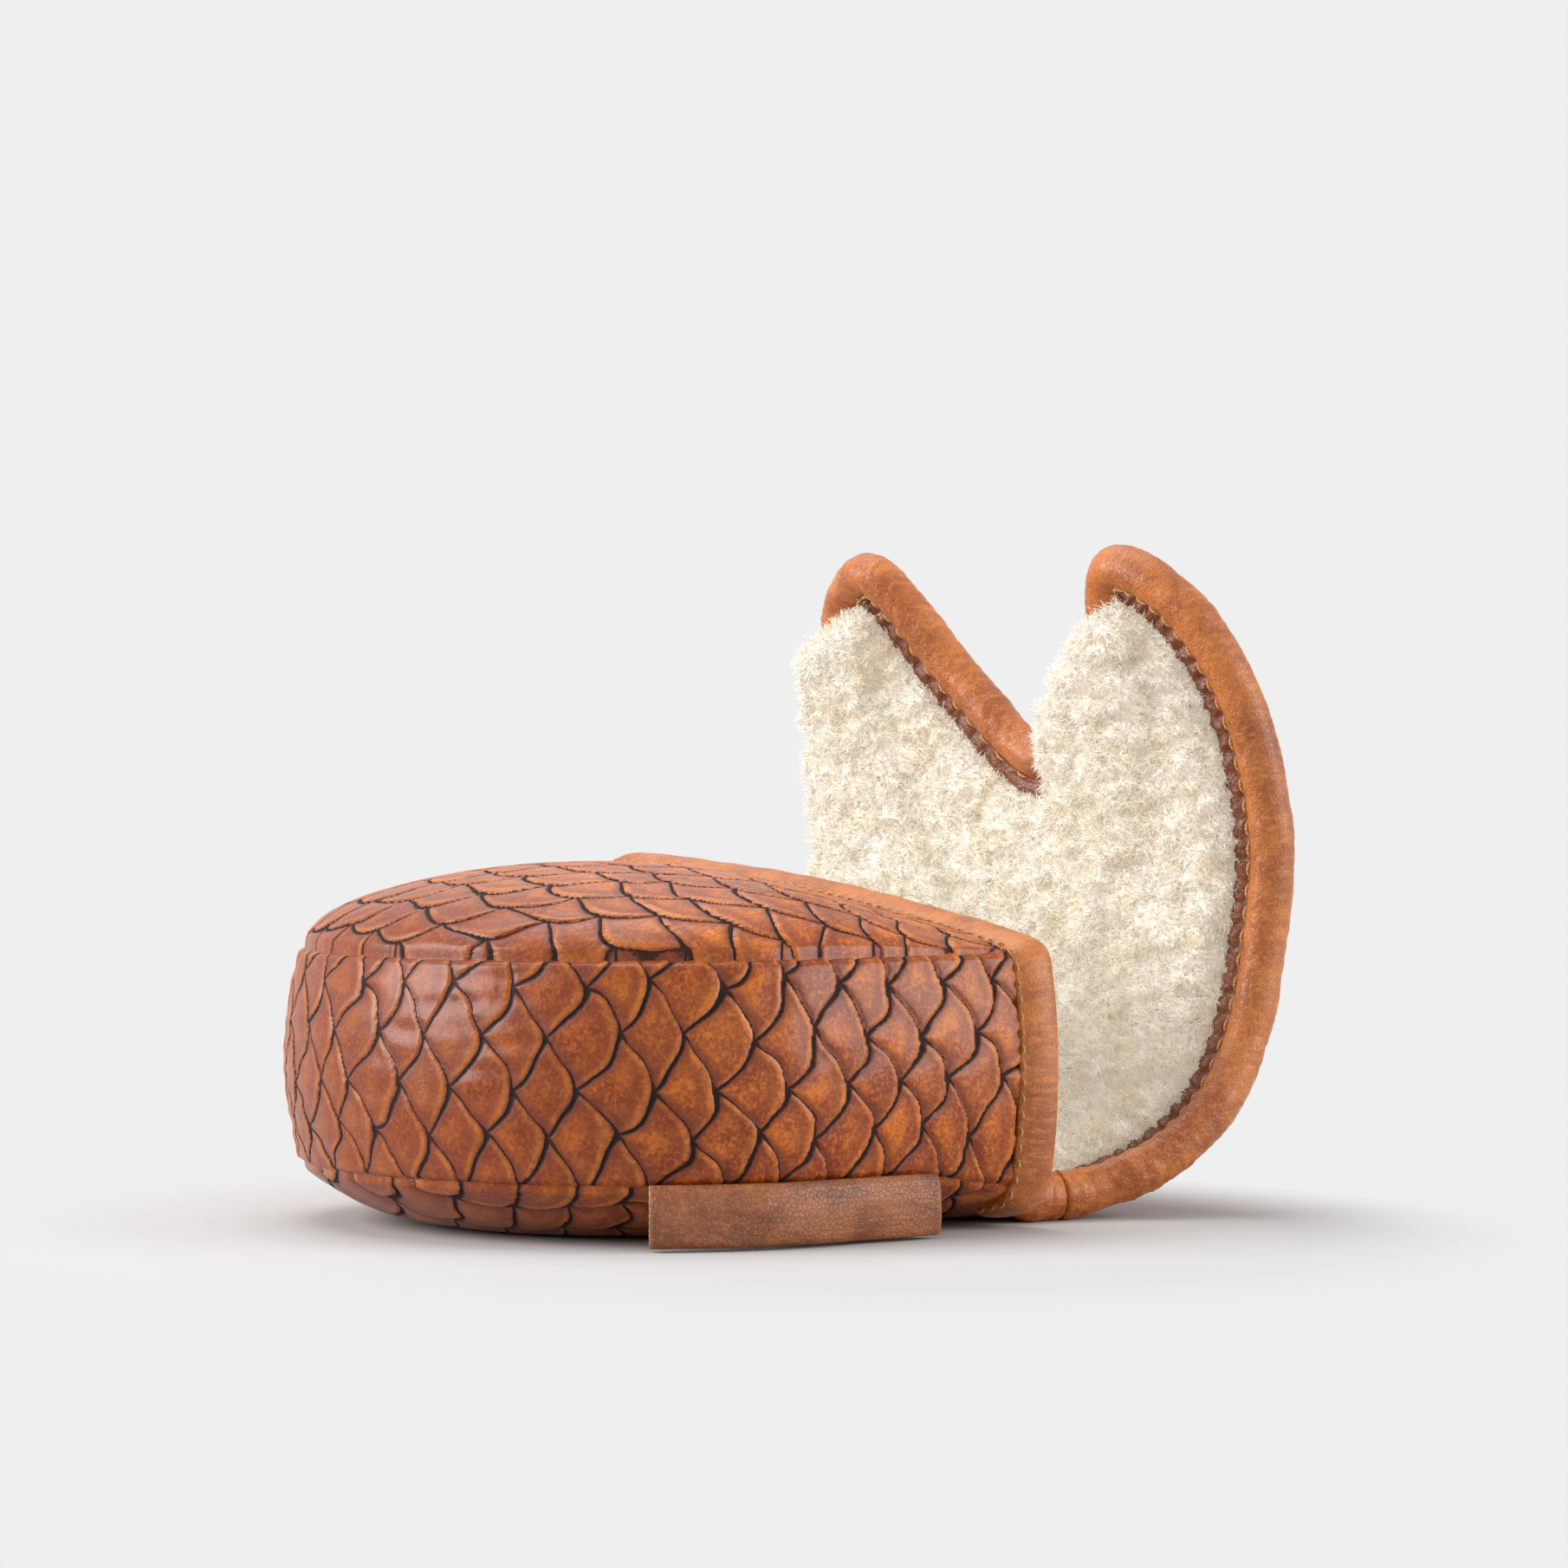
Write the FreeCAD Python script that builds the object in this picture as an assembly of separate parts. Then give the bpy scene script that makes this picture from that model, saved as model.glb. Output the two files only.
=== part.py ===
"""Mallet putter head cover: a D-shaped leather pouch and a padded, sheepskin-lined flap.

The pouch lies on its flat bottom with its mouth towards +X. A flap is hinged along the mouth's
lower edge. It is drawn open, standing in a curl in front of the mouth, and closes over the top.
Lengths are in millimetres. The model is drawn round the pouch's own centre, with the floor at
z = 0, and each finished piece is then moved so that the origin is below the middle of the part.
"""
import FreeCAD
import Part
import math
import os

V = FreeCAD.Vector

# Where the part's origin lies, measured from the pouch's centre.
origin_x = 26.70

# Pouch: plan shape, seam heights and fullness.
half_width = 60.5          # plan half width at the seams
back_length = 52.0         # centre to the round back, at the seams
mouth_x = 54.0             # outer end of the mouth binding
panel_end_x = 52.4         # where the panels stop, inside the binding
lower_seam_z = 10.4
lower_seam_mouth_z = 7.0
upper_seam_z = 49.7
far_corner_lift = 10.0     # the far top corner of the mouth stands this much higher
crown_height = 14.5        # rise of the top panel above its seam
mouth_crown_height = 10.5
side_bulge = 2.2
back_bulge = 4.6
sole_pressed_flat = 0.2    # how far the weight presses the bottom panel flat on the floor
sole_flat_part = 0.45      # share of the plan, from the centre, that lies flat on the floor

# Layers, from the outside inwards.
leather = 1.4
padding = 1.8
pile = 4.6
layer_gap = 0.1
padding_start = leather + layer_gap
padding_end = padding_start + padding
pile_start = padding_end + layer_gap
pile_end = pile_start + pile

# Mouth binding.
binding_width = 8.5
binding_leather = 1.3
binding_clearance = 0.05

# Flap: its outer face follows a short straight and two arcs in the XZ plane.
hinge_x = 60.0
tongue_half_width = 50.0   # the bottom panel runs on to the hinge at this half width
flap_lift = 0.6
flap_straight = 2.0
lower_arc_radius = 48.0
lower_arc_deg = 78.0
upper_arc_radius = 110.0
upper_arc_deg = 46.0
fold_s = 76.0              # distance along the flap to the fold between its two halves
fold_half_angle = 18.5
fold_gap = 0.3
roll_radius = 3.2
cord_radius = 2.0
cord_clearance = 0.05
roll_depth = 4.0           # depth of the rolled edge's centre below the flap's outer face
hinge_start_s = 0.5
roll_start_s = 7.0
pile_front_start_s = 7.0

# Outline of the flap's rolled edge: distance along the flap, and half width.
front_outline = [(0.0, 50.0), (15.0, 55.3), (24.0, 58.9), (41.0, 62.2), (60.0, 62.8), (fold_s, 63.3)]
top_outline = [(fold_s, 63.3), (86.0, 64.3), (97.0, 65.0), (113.0, 63.9), (126.0, 61.8), (137.0, 58.2),
               (147.0, 53.0), (154.0, 45.6), (156.6, 38.6), (155.4, 32.6), (149.0, 27.6), (137.0, 20.6),
               (126.0, 11.6), (118.6, 5.0)]
notch_bottom_s = 115.6

# Stitches, label tab and magnets.
stitch_width = 0.7
stitch_length = 3.0
stitch_pitch = 4.3
tab_start_u = 0.094
tab_end_u = 0.292
tab_lower_z = 0.6
tab_thickness = 3.0
magnet_radius = 6.0
magnet_thickness = 1.5
magnet_clearance = 0.1
magnet_y = 40.0
lobe_magnet_s = 139.0
top_magnet_x = 6.0
top_magnet_gap = 1.9


def smooth_step(value):
    """Rise from 0 to 1 with level ends while value goes from 0 to 1."""
    t = min(max(value, 0.0), 1.0)
    return t * t * (3.0 - 2.0 * t)


# ---------------------------------------------------------------- building blocks

def closed_slab(outer_rows, inner_rows):
    """Solid between two grids of points with the same number of rows and columns."""
    surfaces = []
    for rows in (outer_rows, inner_rows):
        surface = Part.BSplineSurface()
        surface.interpolate(rows)
        surfaces.append(surface)
    outer, inner = surfaces
    faces = [outer.toShape(), inner.toShape()]
    u_first, u_last, v_first, v_last = outer.bounds()
    for u in (u_first, u_last):
        faces.append(Part.makeRuledSurface(outer.uIso(u).toShape(), inner.uIso(u).toShape()))
    for v in (v_first, v_last):
        faces.append(Part.makeRuledSurface(outer.vIso(v).toShape(), inner.vIso(v).toShape()))
    shell = Part.makeShell(faces)
    shell.sewShape()
    solid = Part.makeSolid(shell)
    if solid.Volume < 0:
        solid.reverse()
    return solid


def spline_edge(points):
    curve = Part.BSplineCurve()
    curve.interpolate(points)
    return curve.toShape()


def offset_path(points, distance):
    """Move an open path of (a, b) pairs sideways, to the right of its direction of travel."""
    moved = []
    last = len(points) - 1
    for index, (a, b) in enumerate(points):
        before = points[max(index - 1, 0)]
        after = points[min(index + 1, last)]
        da = after[0] - before[0]
        db = after[1] - before[1]
        length = math.hypot(da, db)
        moved.append((a + distance * db / length, b - distance * da / length))
    return moved


def round_bar(stations, radius):
    """Round bar through stations given as (centre, first normal, second normal)."""
    turns = [2 * math.pi * k / 12 for k in range(13)]
    rows = []
    for centre, first, second in stations:
        rows.append([centre + first * (radius * math.cos(a)) + second * (radius * math.sin(a)) for a in turns])
    surface = Part.BSplineSurface()
    surface.interpolate(rows)
    u_first, u_last, v_first, v_last = surface.bounds()
    faces = [surface.toShape()]
    for u in (u_first, u_last):
        faces.append(Part.Face(Part.Wire([surface.uIso(u).toShape()])))
    shell = Part.makeShell(faces)
    shell.sewShape()
    solid = Part.makeSolid(shell)
    if solid.Volume < 0:
        solid.reverse()
    return solid


def stitch_row(points):
    """Separate short stitches, evenly spaced along a smooth path."""
    path = spline_edge(points)
    count = int(path.Length // stitch_pitch)
    stitches = []
    for index in range(count):
        middle = (index + 0.5) * path.Length / count
        start = path.valueAt(path.getParameterByLength(middle - stitch_length / 2))
        end = path.valueAt(path.getParameterByLength(middle + stitch_length / 2))
        stitch = Part.makeBox(stitch_length, stitch_width, stitch_width, V(0, -stitch_width / 2, -stitch_width / 2))
        stitch.Placement = FreeCAD.Placement(start, FreeCAD.Rotation(V(1, 0, 0), end - start))
        stitches.append(stitch)
    return Part.makeCompound(stitches)


# ---------------------------------------------------------------- pouch surfaces

def plan_point(u):
    """Point and outward normal of the pouch's plan, u running from the near to the far mouth corner."""
    straight_share = 0.2
    if u < straight_share:
        return V(panel_end_x * (1 - u / straight_share), -half_width, 0), V(0, -1, 0)
    if u > 1 - straight_share:
        return V(panel_end_x * (1 - (1 - u) / straight_share), half_width, 0), V(0, 1, 0)
    angle = math.pi * (u - straight_share) / (1 - 2 * straight_share)
    point = V(-back_length * math.sin(angle), -half_width * math.cos(angle), 0)
    normal = V(point.x / back_length ** 2, point.y / half_width ** 2, 0)
    return point, normal.normalize()


def far_lift(x, y):
    return far_corner_lift * smooth_step((x + 20) / (mouth_x + 20)) * smooth_step(y / half_width)


def lower_seam(x):
    return lower_seam_z + (lower_seam_mouth_z - lower_seam_z) * smooth_step((x - 20) / (mouth_x - 20))


def plan_ratio(x, y):
    """0 at the pouch's centre and 1 at its seams."""
    if x > 0:
        return abs(y) / half_width
    return math.hypot(x / back_length, y / half_width)


def top_height(x, y):
    """Height of the top panel's outer face."""
    near_mouth = smooth_step((x - 10) / (mouth_x - 10))
    rise = crown_height + (mouth_crown_height - crown_height) * near_mouth
    sharpness = 5.0 - 2.0 * near_mouth
    lift = far_lift(x, y)
    rise_here = rise - 0.75 * lift
    return upper_seam_z + lift + rise_here * (1 - plan_ratio(x, y) ** sharpness)


def sole_height(x, y):
    """Height of the bottom panel's outer face."""
    beyond_flat = (plan_ratio(x, y) - sole_flat_part) / (1 - sole_flat_part)
    flattening = 1 - 0.85 * smooth_step((x - panel_end_x) / (hinge_x - panel_end_x))
    return lower_seam(x) * flattening * max(beyond_flat, 0.0) ** 2.4


def wall_point(u, height_share, depth, bottom, top):
    """Point inside the side wall, at a depth below its outer face.

    bottom and top are heights, given as (above the lower seam, above the upper seam), one of them None.
    """
    point, normal = plan_point(u)
    low = lower_seam(point.x)
    high = upper_seam_z + far_lift(point.x, point.y)
    start, end = [low + edge[0] if edge[1] is None else high + edge[1] for edge in (bottom, top)]
    z = start + (end - start) * height_share
    fullness = side_bulge + (back_bulge - side_bulge) * math.sin(math.pi * u) ** 2
    out = fullness * math.sin(math.pi * (z - low) / (high - low)) - depth
    return V(point.x + normal.x * out, point.y + normal.y * out, z)


def wall_layer(depth_out, depth_in, bottom, top):
    rows_out = []
    rows_in = []
    for i in range(41):
        u = i / 40
        rows_out.append([wall_point(u, j / 8, depth_out, bottom, top) for j in range(9)])
        rows_in.append([wall_point(u, j / 8, depth_in, bottom, top) for j in range(9)])
    return closed_slab(rows_out, rows_in)


def plan_prism(inset):
    """Tall D-shaped block over the pouch's plan."""
    width = half_width - inset
    ellipse = Part.Ellipse(V(0, width, -20), V(back_length - inset, 0, -20), V(0, 0, -20)).toShape()
    round_part = Part.Face(Part.Wire([ellipse])).extrude(V(0, 0, 120))
    square_part = Part.makeBox(panel_end_x, 2 * width, 120, V(0, -width, -20))
    return round_part.fuse(square_part)


def panel_layer(height, depth_out, depth_in, plan, end_x):
    """Layer of the top (depths downwards) or bottom (depths upwards) inside a plan prism."""
    rows_out = []
    rows_in = []
    reach_x = back_length + 4
    reach_y = half_width + 2
    for i in range(33):
        x = -reach_x + (end_x + 3 + reach_x) * i / 32
        line = [(x, -reach_y + 2 * reach_y * j / 40) for j in range(41)]
        rows_out.append([V(x, y, height(x, y) + depth_out) for x, y in line])
        rows_in.append([V(x, y, height(x, y) + depth_in) for x, y in line])
    return closed_slab(rows_out, rows_in).common(plan)


# ---------------------------------------------------------------- mouth binding

def mouth_section(depth):
    """Path round the mouth in the YZ plane, from the near lower corner over the top."""
    points = []
    for j in range(10):
        point = wall_point(0.0, j / 9, 0.0, (-3.0, None), (None, -3.0))
        points.append((point.y, point.z))
    for j in range(21):
        y = (half_width - 2.5) * (j / 10 - 1)
        points.append((y, top_height(mouth_x, y)))
    for j in range(10):
        point = wall_point(1.0, 1 - j / 9, 0.0, (-3.0, None), (None, -3.0))
        points.append((point.y, point.z))
    return offset_path(points, depth)


def mouth_band(depth_out, depth_in, start_x, end_x):
    """Arch-shaped band round the mouth between two depths."""
    outer = [V(start_x, y, z) for y, z in mouth_section(depth_out)]
    inner = [V(start_x, y, z) for y, z in mouth_section(depth_in)]
    near_end = Part.makeLine(inner[0], outer[0])
    far_end = Part.makeLine(outer[-1], inner[-1])
    outline = Part.Wire([near_end, spline_edge(outer), far_end, spline_edge(inner)])
    return Part.Face(outline).extrude(V(end_x - start_x, 0, 0))


# ---------------------------------------------------------------- flap surfaces

def flap_point(s, y, depth):
    """Point at distance s along the flap, y across it and depth below its outer face."""
    lower_turn = math.radians(lower_arc_deg)
    x = hinge_x
    z = flap_lift
    angle = 0.0
    if s <= flap_straight:
        x += s
    else:
        angle = min((s - flap_straight) / lower_arc_radius, lower_turn)
        x += flap_straight + lower_arc_radius * math.sin(angle)
        z += lower_arc_radius * (1 - math.cos(angle))
        rest = s - flap_straight - lower_arc_radius * lower_turn
        if rest > 0:
            angle = lower_turn + rest / upper_arc_radius
            x += upper_arc_radius * (math.sin(angle) - math.sin(lower_turn))
            z += upper_arc_radius * (math.cos(lower_turn) - math.cos(angle))
    return V(x - math.sin(angle) * depth, y, z + math.cos(angle) * depth)


def flap_band(start, end, depth_out, depth_in):
    """Full-width layer of the flap between two distances along it."""
    knee = flap_straight + lower_arc_radius * math.radians(lower_arc_deg)
    breaks = [start] + [s for s in (flap_straight, knee) if start < s < end] + [end]
    spans = list(zip(breaks[:-1], breaks[1:]))
    side_y = -80.0

    def piece(s_from, s_to, depth):
        first = flap_point(s_from, side_y, depth)
        middle = flap_point((s_from + s_to) / 2, side_y, depth)
        last = flap_point(s_to, side_y, depth)
        if max(s_from, s_to) <= flap_straight:
            return Part.makeLine(first, last)
        return Part.Arc(first, middle, last).toShape()

    edges = [piece(a, b, depth_out) for a, b in spans]
    edges.append(Part.makeLine(flap_point(end, side_y, depth_out), flap_point(end, side_y, depth_in)))
    edges += [piece(b, a, depth_in) for a, b in reversed(spans)]
    edges.append(Part.makeLine(flap_point(start, side_y, depth_in), flap_point(start, side_y, depth_out)))
    return Part.Face(Part.Wire(edges)).extrude(V(0, -2 * side_y, 0))


def full_outline(right_side, inset):
    """Both sides of an outline, as (s, y), moved inwards by the inset."""
    moved = offset_path(right_side, inset)
    return moved, [(s, -y) for s, y in reversed(moved)]


def front_prism(inset, depth):
    """Upright block over the flap's lower half."""
    right, left = full_outline(front_outline, inset)
    right_points = [V(flap_point(s, 0, depth).x, y, -20) for s, y in right]
    left_points = [V(p.x, -p.y, -20) for p in reversed(right_points)]
    over = V(12, 0, 0)
    back = V(-12, 0, 0)
    edges = [spline_edge(right_points),
             Part.makeLine(right_points[-1], right_points[-1] + over),
             Part.makeLine(right_points[-1] + over, left_points[0] + over),
             Part.makeLine(left_points[0] + over, left_points[0]),
             spline_edge(left_points),
             Part.makeLine(left_points[-1], left_points[-1] + back),
             Part.makeLine(left_points[-1] + back, right_points[0] + back),
             Part.makeLine(right_points[0] + back, right_points[0])]
    return Part.Face(Part.Wire(edges)).extrude(V(0, 0, 120))


def top_path(inset):
    """Edge of the flap's upper half from its right side over both lobes, as (s, y)."""
    right, left = full_outline(top_outline, inset)
    return right + [(notch_bottom_s - inset, 0.0)] + left


def top_prism(inset, depth):
    """Block along X behind the outline of the flap's upper half."""
    points = [V(20, y, flap_point(s, 0, depth).z) for s, y in top_path(inset)]
    down = V(0, 0, -12)
    edges = [spline_edge(points),
             Part.makeLine(points[-1], points[-1] + down),
             Part.makeLine(points[-1] + down, points[0] + down),
             Part.makeLine(points[0] + down, points[0])]
    return Part.Face(Part.Wire(edges)).extrude(V(120, 0, 0))


def fold_wedge():
    """Room that the two halves of the flap need to fold towards each other."""
    apex = flap_point(fold_s, -80, leather - 0.5)
    inward = flap_point(fold_s, -80, leather + 11.5) - apex
    turn = FreeCAD.Rotation(V(0, 1, 0), fold_half_angle)
    corners = [apex, apex + turn.multVec(inward), apex + turn.inverted().multVec(inward), apex]
    return Part.Face(Part.makePolygon(corners)).extrude(V(0, 160, 0))


# ---------------------------------------------------------------- pieces of the pouch

def pouch_pieces():
    tongue_end_x = hinge_x - 0.3
    tongue = Part.makeBox(tongue_end_x, 2 * tongue_half_width, 120, V(0, -tongue_half_width, -20))
    bottom_plan = plan_prism(0).fuse(tongue)
    below_floor = Part.makeBox(300, 300, 20, V(-150, -150, -20))
    bottom_leather = panel_layer(sole_height, -sole_pressed_flat, leather, bottom_plan, tongue_end_x)
    top_magnets = []
    pockets = []
    for side in (-1, 1):
        y = side * magnet_y
        z = top_height(top_magnet_x, y) - padding_start - magnet_thickness - top_magnet_gap
        centre = V(top_magnet_x, y, z)
        top_magnets.append(Part.makeCylinder(magnet_radius, magnet_thickness, centre))
        pockets.append(Part.makeCylinder(magnet_radius + magnet_clearance, 8, centre - V(0, 0, 4)))
    deeper = -padding_end - 1.8
    top_padding = panel_layer(top_height, -padding_start, deeper, plan_prism(4.0), panel_end_x)
    return {
        "bottom_panel": bottom_leather.cut(below_floor),
        "gusset": wall_layer(0, leather, (0.2, None), (None, -1.6)),
        "top_panel": panel_layer(top_height, 0, -leather, plan_prism(0), panel_end_x),
        "bottom_padding": panel_layer(sole_height, padding_start, padding_end, plan_prism(3.5), panel_end_x),
        "gusset_padding": wall_layer(padding_start, padding_end, (3.5, None), (None, -4.0)),
        "top_padding": top_padding.cut(pockets[0]).cut(pockets[1]),
        "bottom_lining": panel_layer(sole_height, pile_start, pile_end, plan_prism(9.0), panel_end_x),
        "gusset_lining": wall_layer(pile_start, pile_end, (5.0, None), (None, -6.0)),
        "top_lining": panel_layer(top_height, deeper - 0.1, deeper - pile, plan_prism(9.5), panel_end_x),
        "top_magnet_near": top_magnets[0],
        "top_magnet_far": top_magnets[1],
    }


def seam_pieces():
    """Woven tapes sewn over the inside of the two long seams."""
    tape_start = padding_start
    tape_end = tape_start + 0.8
    return {
        "lower_seam_tape": wall_layer(tape_start, tape_end, (0.6, None), (3.2, None)),
        "upper_seam_tape": wall_layer(tape_start, tape_end, (None, -3.8), (None, -1.8)),
    }


def mouth_pieces():
    start_x = mouth_x - binding_width
    block = mouth_band(-binding_leather, padding_end + binding_leather, start_x, mouth_x)
    inside = mouth_band(-binding_clearance, padding_end, start_x - 1, panel_end_x + 0.2)
    stitch_x = start_x + 1.6
    path = [V(stitch_x, y, z) for y, z in mouth_section(-binding_leather - 0.1)]
    return {
        "mouth_binding": block.cut(inside),
        "mouth_binding_thread": stitch_row(path[1:-1]),
    }


def tab_pieces():
    """Bare folded leather tab that hangs from the lower seam on the near side."""
    def tab_point(i, j, out):
        u = tab_start_u + (tab_end_u - tab_start_u) * i / 16
        point, normal = plan_point(u)
        top_z = lower_seam(point.x) + 0.6
        z = top_z + (tab_lower_z - top_z) * j / 4
        return V(point.x + normal.x * out, point.y + normal.y * out, z)

    near = 0.6
    outer = [[tab_point(i, j, near + tab_thickness) for j in range(5)] for i in range(17)]
    inner = [[tab_point(i, j, near) for j in range(5)] for i in range(17)]
    path = [tab_point(i, 0.6, near + tab_thickness + 0.1) for i in range(17)]
    return {
        "label_tab": closed_slab(outer, inner),
        "label_tab_thread": stitch_row(path),
    }


# ---------------------------------------------------------------- pieces of the flap

def flap_stations(path):
    """Evenly spaced places along a path of (s, y) on the flap, each with its two normals."""
    curve = spline_edge([V(s, y, 0) for s, y in path])
    count = max(int(curve.Length / 4.5), 8)
    places = []
    depths = []
    for index in range(count + 1):
        place = curve.valueAt(curve.getParameterByLength(curve.Length * index / count))
        places.append(flap_point(place.x, place.y, roll_depth))
        depths.append(flap_point(place.x, place.y, roll_depth + 1) - places[-1])
    stations = []
    for index, centre in enumerate(places):
        along = places[min(index + 1, count)] - places[max(index - 1, 0)]
        stations.append((centre, depths[index], along.cross(depths[index]).normalize()))
    return stations


def flap_front_pieces():
    end = fold_s - fold_gap / 2
    wedge = fold_wedge()

    def layer(start, depth_out, depth_in, inset):
        depth = (depth_out + depth_in) / 2
        return flap_band(start, end, depth_out, depth_in).common(front_prism(inset, depth))

    rolls = []
    cords = []
    threads = []
    for side in (-1, 1):
        edge = [(s, side * y) for s, y in offset_path(front_outline, roll_radius)]
        edge[0] = (roll_start_s, edge[0][1] + side * 2.0)
        edge[-1] = (end, edge[-1][1])
        stations = flap_stations(edge)
        rolls.append(round_bar(stations, roll_radius).cut(round_bar(stations, cord_radius)).cut(wedge))
        cords.append(round_bar(stations, cord_radius - cord_clearance).cut(wedge))
        seam = offset_path(front_outline, 2 * roll_radius + 2.8)
        threads.append(stitch_row([flap_point(s, side * y, pile_end - 0.6) for s, y in seam[1:-1]]))
    return {
        "flap_front_leather": layer(hinge_start_s, 0, leather, roll_radius + 0.1),
        "flap_front_padding": layer(4.0, padding_start, padding_end, 2 * roll_radius + 0.6).cut(wedge),
        "flap_front_lining": layer(pile_front_start_s, pile_start, pile_end, 2 * roll_radius + 0.6).cut(wedge),
        "flap_front_edge_roll": Part.makeCompound(rolls),
        "flap_front_edge_cord": Part.makeCompound(cords),
        "flap_front_thread": Part.makeCompound(threads),
    }


def flap_top_pieces():
    start = fold_s + fold_gap / 2
    end = 170.0
    wedge = fold_wedge()

    def layer(depth_out, depth_in, inset):
        depth = (depth_out + depth_in) / 2
        return flap_band(start, end, depth_out, depth_in).common(top_prism(inset, depth))

    edge = top_path(roll_radius)
    edge[0] = (start, edge[0][1])
    edge[-1] = (start, edge[-1][1])
    stations = flap_stations(edge)
    thread_path = [flap_point(s, y, pile_end - 0.6) for s, y in top_path(2 * roll_radius + 2.8)]
    magnets = []
    pockets = []
    for side in (-1, 1):
        outer_end = flap_point(lobe_magnet_s, side * magnet_y, padding_start + 0.1)
        inward = flap_point(lobe_magnet_s, side * magnet_y, padding_end) - outer_end
        magnets.append(Part.makeCylinder(magnet_radius, magnet_thickness, outer_end, inward))
        pockets.append(Part.makeCylinder(magnet_radius + magnet_clearance, 4, outer_end - inward, inward))
    lining_inset = 2 * roll_radius + 0.6
    padding_layer = layer(padding_start, padding_end, lining_inset).cut(wedge)
    return {
        "flap_top_leather": layer(0, leather, roll_radius + 0.1),
        "flap_top_padding": padding_layer.cut(pockets[0]).cut(pockets[1]),
        "flap_top_lining": layer(pile_start, pile_end, lining_inset).cut(wedge),
        "flap_top_edge_roll": round_bar(stations, roll_radius).cut(round_bar(stations, cord_radius)).cut(wedge),
        "flap_top_edge_cord": round_bar(stations, cord_radius - cord_clearance).cut(wedge),
        "flap_top_thread": stitch_row(thread_path[1:-1]),
        "lobe_magnet_near": magnets[0],
        "lobe_magnet_far": magnets[1],
    }


# ---------------------------------------------------------------- writing the pieces

pieces = {}
for group in (pouch_pieces, seam_pieces, mouth_pieces, tab_pieces, flap_front_pieces, flap_top_pieces):
    pieces.update(group())

os.makedirs("parts", exist_ok=True)
for name, shape in pieces.items():
    shape.translate(V(-origin_x, 0, 0))
    shape.exportStep("parts/" + name + ".step")
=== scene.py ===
import math

import bpy
import numpy as np
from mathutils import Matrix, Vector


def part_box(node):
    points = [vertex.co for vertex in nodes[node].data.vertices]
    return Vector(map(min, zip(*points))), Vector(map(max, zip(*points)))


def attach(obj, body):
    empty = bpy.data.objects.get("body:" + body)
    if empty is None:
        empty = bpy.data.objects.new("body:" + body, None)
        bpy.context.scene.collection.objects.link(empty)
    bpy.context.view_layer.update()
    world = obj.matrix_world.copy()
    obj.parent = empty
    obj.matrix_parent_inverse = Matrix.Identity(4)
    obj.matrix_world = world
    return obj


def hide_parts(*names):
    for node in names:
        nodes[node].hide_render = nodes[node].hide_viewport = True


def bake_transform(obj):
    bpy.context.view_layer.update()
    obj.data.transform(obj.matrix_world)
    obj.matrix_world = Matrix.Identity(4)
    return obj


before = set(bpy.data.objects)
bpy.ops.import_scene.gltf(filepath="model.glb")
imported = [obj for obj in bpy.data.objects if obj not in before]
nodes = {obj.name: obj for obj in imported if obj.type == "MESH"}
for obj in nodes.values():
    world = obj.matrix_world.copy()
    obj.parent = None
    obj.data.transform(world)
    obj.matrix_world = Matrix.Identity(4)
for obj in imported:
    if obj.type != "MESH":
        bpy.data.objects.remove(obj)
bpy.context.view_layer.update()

# ------------------------ the pouch's shape
# The pouch is a D in plan: straight sides at the mouth end and half an ellipse at the back.
# Its seams run round the D low down and high up, with the side wall between them. Lengths are
# in millimetres round the pouch's own centre, with the floor at z = 0.

mouth_x = 54.0
panel_end_x = 52.6
half_width = 60.5
back_length = 51.4
pouch_centre_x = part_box("mouth_binding")[1][0] * 1000 - mouth_x


def smooth_step(value):
    """Rise from 0 to 1 with level ends while value goes from 0 to 1."""
    t = np.clip(value, 0.0, 1.0)
    return t * t * (3 - 2 * t)


def lower_seam(x):
    """Height of the lower seam: level, and sinking a little towards the mouth."""
    return 10.4 - 3.4 * smooth_step((x - 20) / 34)


def upper_seam(x, y):
    """Height of the upper seam: level, but rising to the mouth's far top corner."""
    return 49.7 + 12.9 * smooth_step((x + 20) / 74) * smooth_step(y / half_width)


def plan_ratio(x, y):
    """0 at the pouch's centre and 1 at its seams: an ellipse behind the centre, |y| before it."""
    return np.where(x > 0, np.abs(y) / half_width, np.hypot(x / back_length, y / half_width))


def top_height(x, y):
    """Height of the crowned top.

    The body rises from its seam by a short steep shoulder, a high power of the plan ratio, and a
    long crown, a low power of it. Towards the mouth it turns into a slope up to the far corner.
    """
    ratio = plan_ratio(x, y)
    body = upper_seam(x, y) + 4.5 * (1 - ratio ** 16) + 10.5 * (1 - np.clip(ratio, 0, 1) ** 2.2)
    body = body - 0.8 * (upper_seam(x, y) - 49.7) * (1 - ratio ** 3)
    edge = smooth_step((1 - np.abs(y) / half_width) / 0.06)
    mouth = upper_seam(x, y) * (1 - edge) + (58.6 + 0.109 * y - 0.0007 * y ** 2) * edge
    near_mouth = smooth_step((x - 4) / 50)
    return body * (1 - near_mouth) + mouth * near_mouth


def sole_height(x, y):
    """Bottom: flat on the floor in the middle, curving up to the lower seam."""
    beyond = np.maximum((plan_ratio(x, y) - 0.45) / 0.55, 0.0)
    flattening = 1 - 0.85 * smooth_step((x - panel_end_x) / 7.6)
    return lower_seam(x) * flattening * beyond ** 2.4


half_ellipse = np.linspace(0, math.pi, 721)
arc_steps = np.hypot(back_length * np.diff(np.sin(half_ellipse)), half_width * np.diff(np.cos(half_ellipse)))
arc_run = np.concatenate([[0], np.cumsum(arc_steps)])
wall_length = 2 * panel_end_x + arc_run[-1]


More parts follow.
